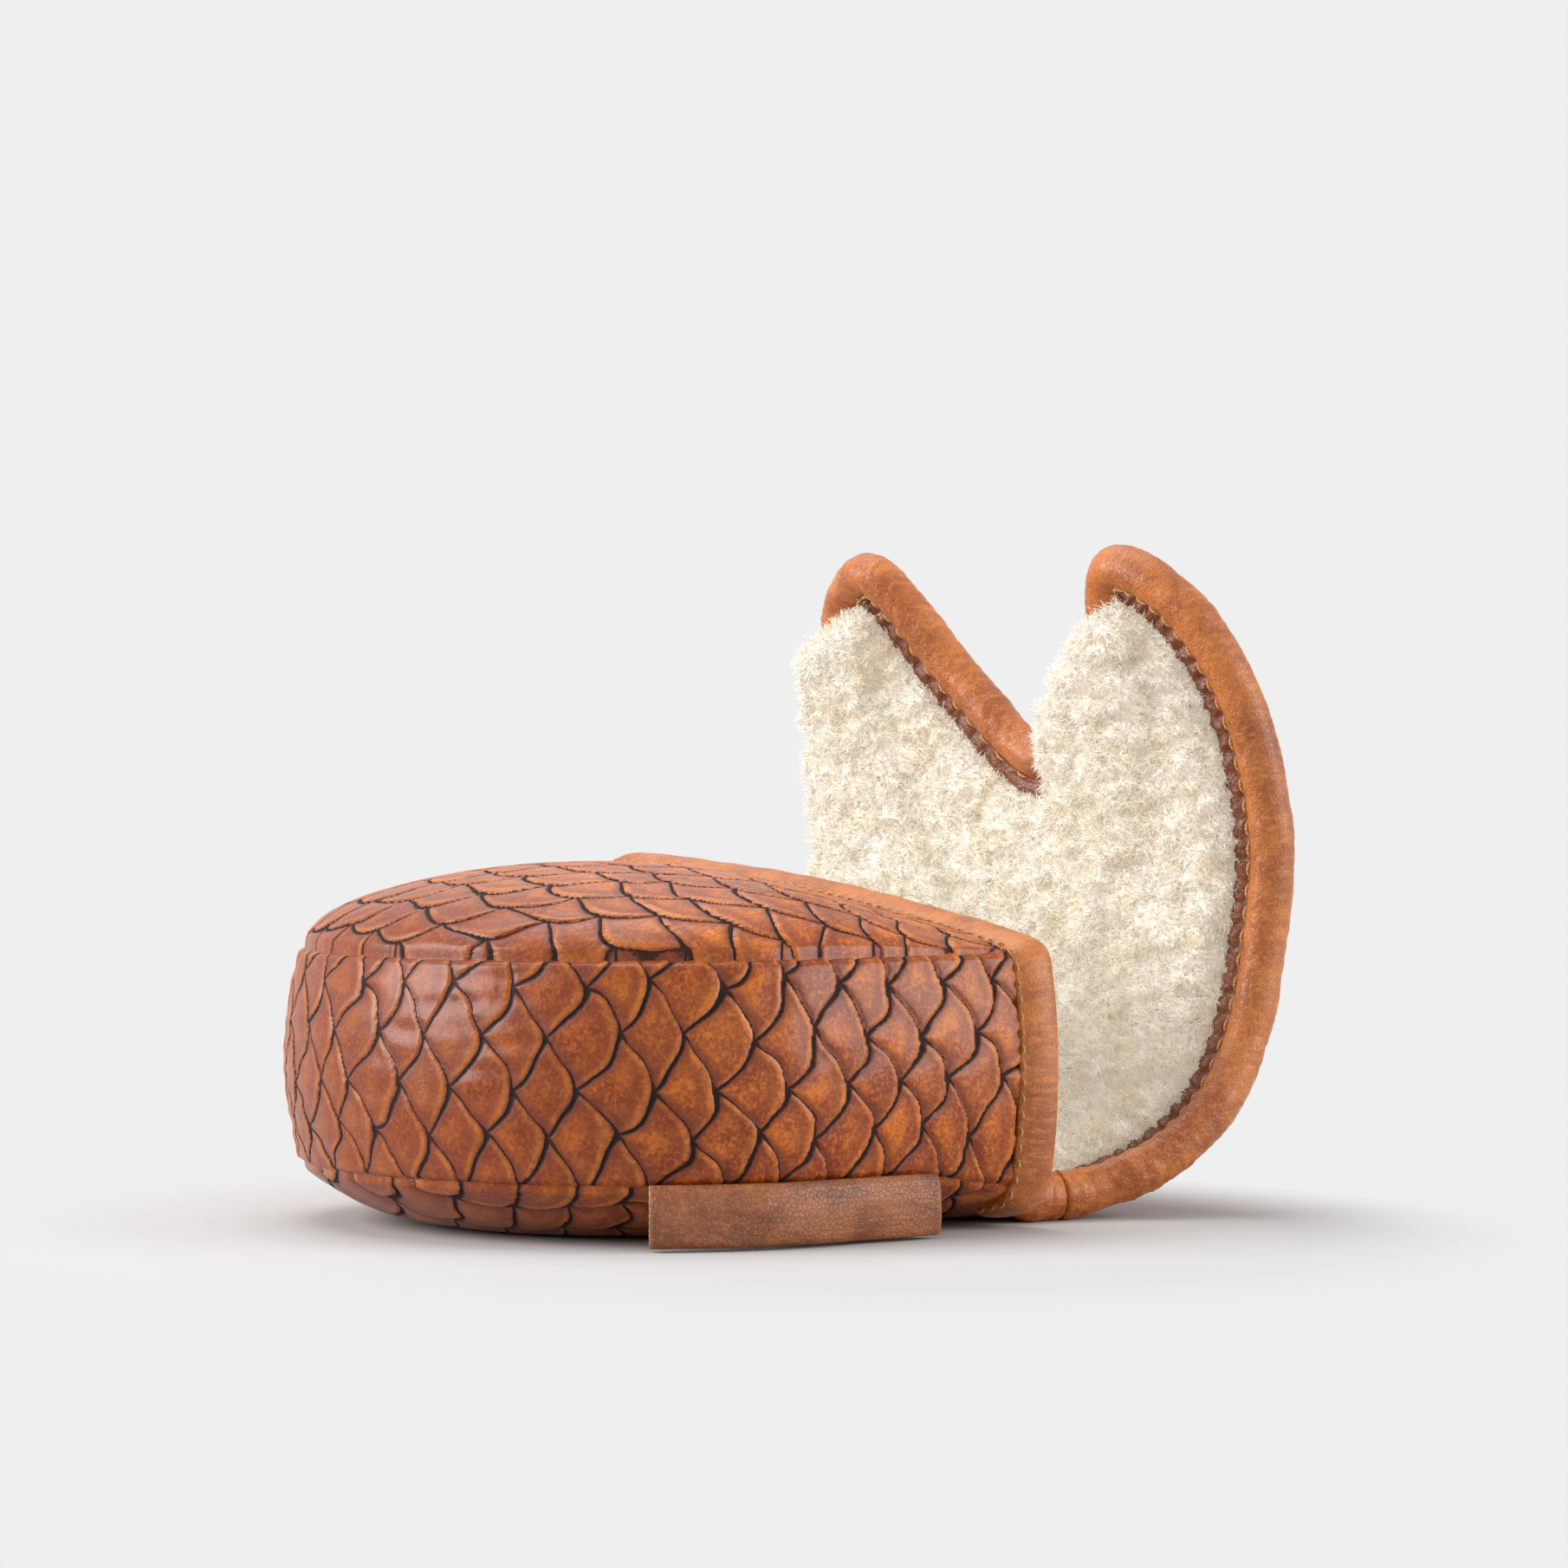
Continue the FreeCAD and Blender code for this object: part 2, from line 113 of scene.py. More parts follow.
def plan_point(run):
    """Place and outward normal at a distance along the wall, from the near corner round the back."""
    run = np.asarray(run, float)
    angle = np.interp(run - panel_end_x, arc_run, half_ellipse)
    x = np.where(run < panel_end_x, panel_end_x - run, -back_length * np.sin(angle))
    x = np.where(run > wall_length - panel_end_x, run - (wall_length - panel_end_x), x)
    y = np.where(x > 0, np.where(run < wall_length / 2, -half_width, half_width), -half_width * np.cos(angle))
    nx = np.where(x > 0, 0.0, x / back_length ** 2)
    ny = y / half_width ** 2
    size = np.hypot(nx, ny)
    return x, y, nx / size, ny / size


def wall_fullness(run, share):
    """How far the side wall bulges out: half a sine wave up the wall, fuller round the back."""
    full = 2.2 + 0.8 * np.sin(np.pi * run / wall_length) ** 2
    return full * np.sin(np.pi * np.clip(share, -0.2, 1.2))


# ------------------------ making meshes
# Every new surface is a grid of points. These turn grids into Blender meshes and put the
# object into the frame.


def grid_of(first, second):
    """Two grids of parameters: first runs down the rows and second along the columns."""
    return np.meshgrid(first, second, indexing="ij")


def grid_faces(rows, columns, closed_rows=False, closed_columns=False):
    """Four-sided faces of a grid, as vertex numbers, with either direction closed into a ring."""
    row = np.arange(rows if closed_rows else rows - 1)
    column = np.arange(columns if closed_columns else columns - 1)
    r, c = grid_of(row, column)
    r2 = (r + 1) % rows
    c2 = (c + 1) % columns
    faces = np.stack([r * columns + c, r2 * columns + c, r2 * columns + c2, r * columns + c2], axis=-1)
    return faces.reshape(-1, 4)


def to_mesh(name, points, faces, material, uv=None, extra_faces=(), attributes=None):
    """Object from points in mm and faces; uv and attributes hold one value per point."""
    points = np.asarray(points, float).reshape(-1, 3)
    faces = np.asarray(faces).tolist() + [list(map(int, face)) for face in extra_faces]
    placed = (points + [pouch_centre_x, 0, 0]) * 0.001
    mesh = bpy.data.meshes.new(name)
    mesh.from_pydata(placed, [], faces)
    mesh.shade_smooth()
    if uv is not None:
        layer = mesh.uv_layers.new(name="surface")
        corner = np.empty(len(mesh.loops), np.int32)
        mesh.loops.foreach_get("vertex_index", corner)
        layer.data.foreach_set("uv", np.asarray(uv, np.float32).reshape(-1, 2)[corner].ravel())
    for key, values in (attributes or {}).items():
        layer = mesh.attributes.new(key, "FLOAT", "POINT")
        layer.data.foreach_set("value", np.asarray(values, np.float32).ravel())
    mesh.materials.append(material)
    obj = bpy.data.objects.new(name, mesh)
    bpy.context.collection.objects.link(obj)
    return obj


def normals_of(grid):
    """Unit normals of a grid of points, from its differences along rows and columns."""
    along = np.gradient(grid, axis=0)
    across = np.gradient(grid, axis=1)
    normal = np.cross(along, across)
    return normal / np.maximum(np.linalg.norm(normal, axis=-1, keepdims=True), 1e-9)


def ripple(a, b, size, seed):
    """Smooth irregular waves about 1 high: a sum of sines with random directions and phases."""
    rng = np.random.default_rng(seed)
    total = np.zeros(np.broadcast(a, b).shape)
    for _ in range(7):
        turn = rng.uniform(0, 2 * math.pi)
        step = 2 * math.pi / (size * rng.uniform(0.7, 1.5))
        total = total + np.sin((a * math.cos(turn) + b * math.sin(turn)) * step + rng.uniform(0, 2 * math.pi))
    return total / 3.2


# ------------------------ embossed scale leather
# Cowhide embossed with overlapping fish scales and dyed by hand: orange tan on the scales,
# burnt brown towards their edges, and nearly black in the grooves below the free edges.

scale_pitch = 11.7     # along the pouch, from one scale to the next in a row
row_pitch = 9.15       # from one row of scales to the next
upper_power = 1.95     # how round a scale's free edge is above its tip
lower_power = 2.25     # and below its tip


def scale_edges(a, b):
    """Distances along a from the free edge ahead and from the one behind, for scales pointing to +a.

    Tips of scales sit at (i * pitch, j * row), every other row shifted by half a pitch. From its tip
    a free edge falls back by half a pitch, as a power of the height above or below the tip.
    """
    row = np.floor(b / row_pitch)
    above = b / row_pitch - row
    ahead = []
    for own_row, height, power in ((row, above, upper_power), (row + 1, 1 - above, lower_power)):
        shift = scale_pitch / 2 * np.mod(own_row, 2)
        fall_back = scale_pitch / 2 * height ** power
        ahead.append(np.mod(shift - fall_back - a, scale_pitch))
    edge_ahead = np.minimum(ahead[0], ahead[1])
    edge_behind = scale_pitch - np.maximum(ahead[0], ahead[1])
    return edge_ahead, edge_behind


def scale_relief(a, b):
    """Height of the embossing: low just past a free edge, rising over the scale to a rounded lip."""
    ahead, behind = scale_edges(a, b)
    groove = np.exp(-(behind / 0.75) ** 1.5)
    lip = np.exp(-(ahead / 0.5) ** 2)
    dip = np.exp(-((ahead - 2.4) / 1.0) ** 2)
    rise = smooth_step(behind / 5.0)
    return 0.18 * rise - 0.40 * groove - 0.12 * lip - 0.06 * dip


def scale_warp(a, b, seed):
    """Pattern coordinates bent by slow waves, so that no two scales are alike."""
    return (a + 1.2 * ripple(a, b, 27, seed) + 0.5 * ripple(a, b, 10, seed + 1),
            b + 1.1 * ripple(a, b, 30, seed + 2) + 0.45 * ripple(a, b, 11, seed + 3))


class Sum:
    """A number in a shader: arithmetic on it adds Math nodes."""

    def __init__(self, shader, socket):
        self.shader = shader
        self.socket = socket

    def math(self, operation, *values):
        """One Math node on this number and the others."""
        return self.shader.node("ShaderNodeMath", {"operation": operation}, [self, *values])

    def __add__(self, other):
        return self.math("ADD", other)

    __radd__ = __add__

    def __sub__(self, other):
        return self.math("SUBTRACT", other)

    def __rsub__(self, other):
        return self.shader.node("ShaderNodeMath", {"operation": "SUBTRACT"}, [other, self])

    def __mul__(self, other):
        return self.math("MULTIPLY", other)

    __rmul__ = __mul__

    def __truediv__(self, other):
        return self.math("DIVIDE", other)

    def power(self, exponent):
        return self.math("POWER", exponent)

    def floor(self):
        return self.math("FLOOR")

    def modulo(self, other):
        return self.math("FLOORED_MODULO", other)

    def lowest(self, other):
        return self.math("MINIMUM", other)

    def highest(self, other):
        return self.math("MAXIMUM", other)

    def between(self, low, high):
        """0 at low and 1 at high, with level ends."""
        settings = {"interpolation_type": "SMOOTHSTEP"}
        values = {"Value": self, "From Min": low, "From Max": high}
        return self.shader.node("ShaderNodeMapRange", settings, values)


class Shader:
    """A material under construction."""

    def __init__(self, name):
        self.material = bpy.data.materials.new(name)
        self.material.use_nodes = True
        self.tree = self.material.node_tree
        self.tree.nodes.clear()

    def node(self, kind, settings=None, values=None, output=0):
        """Any node: its settings first, then the values or links of its sockets."""
        made = self.tree.nodes.new(kind)
        for key, value in (settings or {}).items():
            if key == "stops":
                ramp = made.color_ramp
                while len(ramp.elements) < len(value):
                    ramp.elements.new(0.5)
                for element, (position, colour) in zip(ramp.elements, value):
                    element.position = position
                    element.color = (*colour, 1)
            else:
                setattr(made, key, value)
        pairs = enumerate(values) if isinstance(values, list) else (values or {}).items()
        for key, value in pairs:
            if isinstance(value, Sum):
                self.tree.links.new(value.socket, made.inputs[key])
            else:
                made.inputs[key].default_value = value
        return Sum(self, made.outputs[output]) if made.outputs else None

    def mix(self, factor, first, second):
        """Colour between two colours."""
        made = {"data_type": "RGBA"}
        values = {0: factor}
        for key, colour in ((6, first), (7, second)):
            values[key] = colour if isinstance(colour, Sum) else (*colour, 1)
        return self.node("ShaderNodeMix", made, values, output=2)

    def noise(self, scale, detail=3.0, roughness=0.55, vector=None):
        """Cloudy noise, at this many clouds a metre."""
        vector = vector or self.place()
        values = {"Vector": vector, "Scale": scale, "Detail": detail, "Roughness": roughness}
        return self.node("ShaderNodeTexNoise", None, values)

    def place(self):
        """Object coordinates, in metres."""
        return self.node("ShaderNodeTexCoord", output=3)

    def finish(self, colour, roughness, height=None, height_mm=0.2, **constants):
        """Close the material with a Principled surface; height runs from 0 to 1 over height_mm."""
        values = {"Base Color": colour, "Roughness": roughness}
        if height is not None:
            bump = {"Strength": 1.0, "Distance": height_mm * 0.001, "Height": height}
            values["Normal"] = self.node("ShaderNodeBump", None, bump)
        values.update({key.replace("_", " "): value for key, value in constants.items()})
        surface = self.node("ShaderNodeBsdfPrincipled", None, values)
        self.node("ShaderNodeOutputMaterial", None, {"Surface": surface})
        return self.material


def scale_leather(name):
    """Scale leather; the UV map holds the pattern's own coordinates, in units of 100 mm."""
    s = Shader(name)
    uv = s.node("ShaderNodeUVMap", {"uv_map": "surface"})
    split = s.node("ShaderNodeSeparateXYZ", None, [uv])
    a = split * 100
    b = Sum(s, split.socket.node.outputs[1]) * 100
    row = (b / row_pitch).floor()
    above = b / row_pitch - row
    ahead = []
    for own_row, height, power in ((row, above, upper_power), (row + 1, 1 - above, lower_power)):
        shift = own_row.modulo(2) * (scale_pitch / 2)
        edge = shift - height.power(power) * (scale_pitch / 2)
        ahead.append((edge - a).modulo(scale_pitch))
    edge_ahead = ahead[0].lowest(ahead[1])
    edge_behind = scale_pitch - ahead[0].highest(ahead[1])
    lower_side = (ahead[1] - ahead[0]).between(-2, 2)

    scale_number = (a + edge_ahead) / (scale_pitch / 2)
    scale_row = (row + lower_side).floor()
    cell = s.node("ShaderNodeCombineXYZ", None, [(scale_number + 0.5).floor(), scale_row, 0.0])
    chance = s.node("ShaderNodeTexWhiteNoise", {"noise_dimensions": "3D"}, {"Vector": cell})

    fine = s.noise(1300, 4, 0.75)
    patch = s.noise(170, 4, 0.6)
    broad = s.noise(36, 3, 0.5)
    pores = s.node("ShaderNodeTexVoronoi", None, {"Vector": s.place(), "Scale": 1500})

    colour = s.mix(patch.between(0.40, 0.60), (0.28, 0.038, 0.002), (0.64, 0.150, 0.009))
    colour = s.mix(broad.between(0.48, 0.64) * 0.45, colour, (0.69, 0.200, 0.032))
    colour = s.mix(chance.power(1.5) * 0.5, colour, (0.29, 0.040, 0.004))
    colour = s.mix(fine.between(0.50, 0.62) * 0.50, colour, (0.82, 0.26, 0.034))
    colour = s.mix((1 - fine.between(0.38, 0.50)) * 0.50, colour, (0.20, 0.026, 0.003))
    along = s.node("ShaderNodeSeparateXYZ", None, [s.place()])
    # Painted shade: the colour darkens towards the back end of the pouch.
    painted_shade_back = (1 - along.between(-0.082, -0.036)) * (0.35 + patch * 0.5)
    colour = s.mix(painted_shade_back, colour, (0.17, 0.026, 0.003))
    crescent = edge_ahead.between(0.9, 2.0) * (1 - edge_ahead.between(2.4, 4.6))
    colour = s.mix(crescent * patch.between(0.3, 0.6) * 0.6, colour, (0.18, 0.028, 0.005))
    # Painted highlight: a lighter line along each scale's rounded lip, just inside its free edge.
    lip = (1 - edge_ahead.between(0.9, 1.5)) * edge_ahead.between(0.1, 0.5)
    colour = s.mix(lip * patch * 0.4, colour, (0.66, 0.25, 0.055))
    burn = 1 - edge_behind.between(0.5, 3.6)
    colour = s.mix(burn * (0.25 + patch * 0.9), colour, (0.14, 0.022, 0.010))

    near_tip = 1 - above.lowest(1 - above).between(0.03, 0.26)
    width = 0.30 + 0.55 * lower_side + 0.40 * near_tip + (fine - 0.5) * 1.2 + (patch - 0.5) * 1.1
    groove = 1 - (edge_behind / width.highest(0.12)).between(0.7, 1.3)
    colour = s.mix(groove * (0.86 + lower_side * 0.13), colour, (0.012, 0.006, 0.007))

    creases = s.noise(210, 6, 0.7)
    height = fine * 0.45 + creases * 1.0 - pores * 0.25 - groove * 1.0
    gloss = 0.26 + fine * 0.16 + patch * 0.12 + groove * 0.35
    return s.finish(colour, gloss, height, 0.18, Specular_IOR_Level=0.24,
                    Coat_Weight=0.32 - groove * 0.30, Coat_Roughness=0.22)


embossed = scale_leather("embossed scale leather")
leather_thickness = 1.4


def tube(name, rings, material, turned, uv=None, attributes=None):
    """Closed tube through rings of points, capped at its ends; turned swaps its inside and outside."""
    rows, sides = rings.shape[:2]
    faces = grid_faces(rows, sides, closed_columns=True)
    caps = [list(range(sides)), list(range((rows - 1) * sides, rows * sides))[::-1]]
    if turned:
        faces, caps = faces[:, ::-1], [cap[::-1] for cap in caps]
    return to_mesh(name, rings, faces, material, uv, caps, attributes)


def leather_slab(name, outer, inward, a, b):
    """Closed skin of scale leather: a fine outer grid and, its thickness inwards, a coarse inner face."""
    columns = outer.shape[1]
    keep = np.unique(np.linspace(0, columns - 1, max(columns // 12, 4)).astype(int))[::-1]
    inner = outer[:, keep] + inward[:, keep] * leather_thickness
    uv = np.stack([a, b], -1) / 100
    grid = np.concatenate([outer, inner], axis=1)
    grid_uv = np.concatenate([uv, uv[:, keep]], axis=1)
    turned = (normals_of(outer) * inward).sum() > 0
    return tube(name, grid, embossed, turned, grid_uv)


# ------------------------ side wall of the pouch
# One long strip of scale leather round the D. The scales point to the mouth. It is turned in
# and sewn to the top and the bottom panel.


def side_wall(run, share):
    """Outer face of the wall at a distance along it and a share of its height."""
    x, y, nx, ny = plan_point(run)
    low = lower_seam(x)
    high = upper_seam(x, y)
    out = wall_fullness(run, share)
    turned = 1.5 * (1 - smooth_step(np.minimum(share, 1 - share) / 0.035))
    z = low + (high - low) * share
    return np.stack([x + nx * (out - turned), y + ny * (out - turned), z], axis=-1)


wall_columns = 96
wall_height = 41.5
run, share = grid_of(np.linspace(0, wall_length, 640), np.linspace(0, 1, wall_columns))
wall = side_wall(run, share)
wall_inward = -normals_of(wall)
if wall_inward[0, wall_columns // 2, 1] < 0:
    wall_inward = -wall_inward
height_up = share * wall_height
pattern_a, pattern_b = scale_warp(wall_length - run, height_up, 11)
edge_calm = smooth_step(np.minimum(share, 1 - share) / 0.05)
back_share = np.exp(-((run / wall_length - 0.5) / 0.25) ** 2)
wrinkles = 0.16 * back_share * ripple(run * 0.25, height_up, 4.5, 21) * edge_calm
relief = scale_relief(pattern_a, pattern_b) * (0.35 + 0.65 * edge_calm) * (1 - 0.35 * back_share) + wrinkles
wall = wall - wall_inward * relief[..., None]
gusset = leather_slab("gusset_leather", wall, wall_inward, pattern_a, pattern_b)
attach(gusset, "pouch")
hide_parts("gusset")

# ------------------------ top and bottom panels
# Two D-shaped panels of the same leather. The top one is crowned over its padding, with its
# scales pointing to the back. The bottom one runs on past the mouth as the flap's hinge.


def panel_plan(rows, columns, end_x):
    """Plan of a D as rows from the back to the mouth: cosine steps round the back, even ones after."""
    back_rows = rows // 2
    angle = np.linspace(0, math.pi / 2, back_rows, endpoint=False)
    front = np.linspace(0, end_x, rows - back_rows)
    x = np.concatenate([-back_length * np.cos(angle), front])
    reach = np.concatenate([half_width * np.sin(angle), np.full(len(front), half_width)])
    reach[0] = 0.4
    across = np.sin(np.linspace(-math.pi / 2, math.pi / 2, columns))
    across = 0.55 * across + 0.45 * np.linspace(-1, 1, columns)
    return np.broadcast_to(x[:, None], (rows, columns)), reach[:, None] * across[None, :]


def panel_grid(rows, columns, end_x, height_at, turn_in):
    """Panel surface, its edge turned towards the inside of the seam."""
    x, y = panel_plan(rows, columns, end_x)
    z = height_at(x, y)
    edge = 1 - smooth_step((1 - plan_ratio(x, y)) / 0.022)
    return np.stack([x * (1 - 0.012 * edge), y * (1 - 0.012 * edge), z + turn_in * edge], axis=-1)


def upward(grid):
    """Unit normals of a grid of points, all turned to the side that faces up."""
    normal = normals_of(grid)
    return np.where(normal[..., 2:3] < 0, -normal, normal)


panel_rows, panel_columns = 280, 300
top = panel_grid(panel_rows, panel_columns, panel_end_x, top_height, -1.3)
top_up = upward(top)
turn = math.radians(200)
over_shoulder = 1 + 0.085 * plan_ratio(top[..., 0], top[..., 1]) ** 14
top_a = (top[..., 0] * math.cos(turn) + top[..., 1] * math.sin(turn)) * over_shoulder
top_b = (-top[..., 0] * math.sin(turn) + top[..., 1] * math.cos(turn)) * over_shoulder
top_a, top_b = scale_warp(top_a, top_b, 31)
edge_calm = smooth_step((1 - plan_ratio(top[..., 0], top[..., 1])) / 0.03)
top = top + top_up * (scale_relief(top_a, top_b) * (0.3 + 0.7 * edge_calm))[..., None]
top_panel = leather_slab("top_panel_leather", top, -top_up, top_a, top_b)
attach(top_panel, "pouch")
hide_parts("top_panel")

sole = panel_grid(panel_rows // 2, panel_columns // 2, panel_end_x, sole_height, 1.3)
sole_up = upward(sole)
sole_a, sole_b = scale_warp(sole[..., 0], sole[..., 1], 51)
off_floor = smooth_step((sole[..., 2] - 0.4) / 2.5)
sole = sole - sole_up * (scale_relief(sole_a, sole_b) * off_floor * 0.8)[..., None]
sole_panel = leather_slab("bottom_panel_leather", sole, sole_up, sole_a, sole_b)
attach(sole_panel, "pouch")
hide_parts("bottom_panel")

# ------------------------ smooth edge leather
# Plain cowhide of the same dye for the mouth binding and the rolled edges, with a fine grain
# that runs across it, painted shade on the rolled edge's channel and margin, and paler raw tab ends.


def smooth_leather(name, light, dark, gloss, grain_mm, pressed=None):
    """Plain leather; its last argument is the colour where the attribute of that name is 1: painted shade on
    the rolled edge's channel and margin, paler raw ends on the label tab.
    """
    s = Shader(name)
    fine = s.noise(1500, 4, 0.7)
    patch = s.noise(130, 4, 0.6)
    broad = s.noise(34, 3, 0.5)
    drawn = s.node("ShaderNodeVectorMath", {"operation": "MULTIPLY"}, [s.place(), (0.12, 1.0, 1.0)])
    grain = s.noise(1100, 4, 0.6, drawn)
    cells = s.node("ShaderNodeTexVoronoi", {"feature": "DISTANCE_TO_EDGE"},
                   {"Vector": s.place(), "Scale": 1100})
    colour = s.mix(patch.between(0.36, 0.64), dark, light)
    colour = s.mix(broad.between(0.45, 0.68) * 0.45, colour, tuple(0.6 * c for c in dark))
    colour = s.mix(grain.between(0.45, 0.68) * 0.4, colour, tuple(min(1.0, 1.5 * c) for c in light))
    colour = s.mix((1 - fine.between(0.36, 0.5)) * 0.35, colour, tuple(0.5 * c for c in dark))
    # Painted shade where the attribute marks the roll's channel and margin; a paler raw colour on the tab's
    # cut ends.
    if pressed:
        amount = s.node("ShaderNodeAttribute", {"attribute_name": "pressed"}, output=2)
        colour = s.mix(amount * (0.55 + patch * 0.5), colour, pressed)
    height = cells.between(0.0, 0.16) * 0.4 + fine * 0.5 + patch * 0.5 + grain * 0.4
    roughness = gloss + fine * 0.15 + patch * 0.08
    return s.finish(colour, roughness, height, grain_mm, Specular_IOR_Level=0.5, Coat_Weight=0.12,
                    Coat_Roughness=0.3)


binding_leather = smooth_leather("smooth binding leather", (0.60, 0.190, 0.042), (0.38, 0.100, 0.018),
                                 0.32, 0.10)

# ------------------------ mouth binding
# A strip of smooth leather folded over the mouth's edge from one lower corner over the top to
# the other, and sewn through beside its inner edge.


def rounded_profile(corners, count, passes):
    """Closed outline through corner points, taken at even steps and then averaged with its neighbours."""
    turns = np.arange(len(corners)) / len(corners)
    around = np.linspace(0, 1, count, endpoint=False)
    outline = np.stack([np.interp(around, turns, np.array(corners)[:, k], period=1) for k in (0, 1)], -1)
    for _ in range(passes):
        outline = (np.roll(outline, 1, 0) + 2 * outline + np.roll(outline, -1, 0)) / 4
    return outline[None, :, 0], outline[None, :, 1]


def mouth_path(samples):
    """Section of the mouth in (y, z), from under the near lower corner over the top to the far one.

    Its pieces are joined, smoothed by a moving average and taken at even steps.
    """
    up = np.linspace(0.06, 0.97, 60)
    wall_y = half_width + wall_fullness(np.zeros(60), up)
    low = lower_seam(mouth_x)
    near_z = low + (upper_seam(mouth_x, -half_width) - low) * up
    far_z = low + (upper_seam(mouth_x, half_width) - low) * up
    across = np.linspace(-half_width + 1.6, half_width - 1.6, 120)
    over_z = top_height(np.full(120, mouth_x), across)
    under_y = np.linspace(48.5, half_width - 2.0, 12)
    under_z = 3.4 + 1.9 * ((under_y - 48.5) / 10) ** 1.5
    y = np.concatenate([-under_y, -wall_y, across, wall_y[::-1], under_y[::-1]])
    z = np.concatenate([under_z, near_z, over_z, far_z[::-1], under_z[::-1]])
    step = np.concatenate([[0], np.cumsum(np.hypot(np.diff(y), np.diff(z)))])
    dense = np.linspace(0, step[-1], 900)
    kernel = np.hanning(17) / np.hanning(17).sum()
    y = np.convolve(np.pad(np.interp(dense, step, y), 8, "edge"), kernel, "valid")
    z = np.convolve(np.pad(np.interp(dense, step, z), 8, "edge"), kernel, "valid")
    even = np.linspace(0, step[-1], samples)
    return np.interp(even, dense, y), np.interp(even, dense, z), even


mouth_y, mouth_z, mouth_run = mouth_path(420)
path_dy = np.gradient(mouth_y)
path_dz = np.gradient(mouth_z)
size = np.hypot(path_dy, path_dz)
out_y = -path_dz / size
out_z = path_dy / size
# Profile of the folded strip as (distance back from the mouth, distance outwards).
back, out = rounded_profile([
    (8.5, -0.6), (8.7, 0.1), (8.5, 0.55), (8.0, 0.7), (7.4, 1.1), (6.3, 1.7), (4.5, 2.1), (2.6, 2.2),
    (1.1, 1.7), (0.25, 0.7), (0.0, -0.6), (0.2, -2.4), (0.9, -3.5), (2.4, -4.0), (5.0, -4.1),
    (8.0, -4.0), (8.4, -3.4), (8.4, -2.0)], 54, 3)
swell = 1 + 0.06 * ripple(mouth_run[:, None], back * 0, 16, 61)
out = np.where(out > 0, out * swell, out)
binding = np.stack([mouth_x - back * (1 + 0.02 * ripple(mouth_run[:, None], 0, 22, 62)),
                    mouth_y[:, None] + out_y[:, None] * out,
                    mouth_z[:, None] + out_z[:, None] * out], axis=-1)
mouth_binding = tube("mouth_binding_leather", binding, binding_leather, turned=True)
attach(mouth_binding, "pouch")
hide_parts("mouth_binding")


# ------------------------ stitches
# Waxed tan thread. Each stitch is a short bar that dips into the leather at both ends.

s = Shader("waxed thread")
twist = s.node("ShaderNodeTexWave", {"bands_direction": "DIAGONAL"},
               {"Vector": s.place(), "Scale": 900.0, "Distortion": 1.0})
thread = s.finish(s.mix(twist, (0.46, 0.21, 0.06), (0.74, 0.43, 0.16)), 0.55, twist, 0.1)


def stitches(name, centres, along, outward, length, radius, material):
    """Bars laid end to end: rings of six points along a shallow arch at each centre."""
    steps = np.linspace(-1, 1, 5)
    ring = 2 * np.pi * np.arange(6) / 6
    side = np.cross(along, outward)
    lift = (1 - steps ** 2) * 0.55 - 0.35
    thick = radius * np.array([0.5, 0.95, 1.0, 0.95, 0.5])
    base = centres[:, None, :] + along[:, None, :] * (steps * length / 2)[None, :, None]
    base = base + outward[:, None, :] * lift[None, :, None]
    circle = (side[:, None, None, :] * np.cos(ring)[None, None, :, None]
              + outward[:, None, None, :] * np.sin(ring)[None, None, :, None])
    points = base[:, :, None, :] + circle * thick[None, :, None, None]
    faces = grid_faces(5, 6, closed_columns=True)
    count = len(centres)
    all_faces = (faces[None] + 30 * np.arange(count)[:, None, None]).reshape(-1, 4)
    caps = [[30 * k + j for j in range(6)] for k in range(count)]
    caps += [[30 * k + 29 - j for j in range(6)] for k in range(count)]
    return to_mesh(name, points, all_faces, material, extra_faces=caps)


even = np.arange(3.0, mouth_run[-1] - 3, 2.9)
stitch_y = np.interp(even, mouth_run, mouth_y)
stitch_z = np.interp(even, mouth_run, mouth_z)
ny = np.interp(even, mouth_run, out_y)
nz = np.interp(even, mouth_run, out_z)
outward = np.stack([ny * 0, ny, nz], -1)
centres = np.stack([np.full(len(even), mouth_x - 8.35), stitch_y, stitch_z], -1) + outward * 0.75
along = np.stack([ny * 0, nz, -ny], -1)
mouth_stitches = stitches("mouth_binding_stitches", centres, along, outward, 1.9, 0.26, thread)
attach(mouth_stitches, "pouch")
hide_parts("mouth_binding_thread")

# ------------------------ the flap's shape
# The flap stands on the hinge line before the mouth and curls up and back: a short straight,
# then two arcs. Points on it are given by the distance s along it, y across and the depth c
# below its outer face. Two points mark a fold line across the middle, but nothing bends the flap there.

hinge_x = 60.0
flap_lift = 0.6
flap_straight = 2.0
lower_radius, lower_turn = 48.0, math.radians(78)
upper_radius = 110.0
# Half of the flap's outline as (s, y), from the hinge round a lobe to the bottom of the notch.
side_outline = np.array([
    (-5.4, 52.4), (3.0, 52.6), (8.0, 53.6), (15.0, 55.6), (24.0, 59.0), (41.0, 62.4), (60.0, 63.0),
    (76.0, 63.6), (86.0, 64.4), (97.0, 65.0), (113.0, 63.9), (126.0, 61.8), (137.0, 58.2),
    (147.0, 52.6), (153.6, 45.8), (157.0, 38.4), (155.8, 32.2), (149.6, 27.4), (137.0, 20.6),
    (126.0, 12.0), (119.2, 5.4), (116.6, 0.0)])


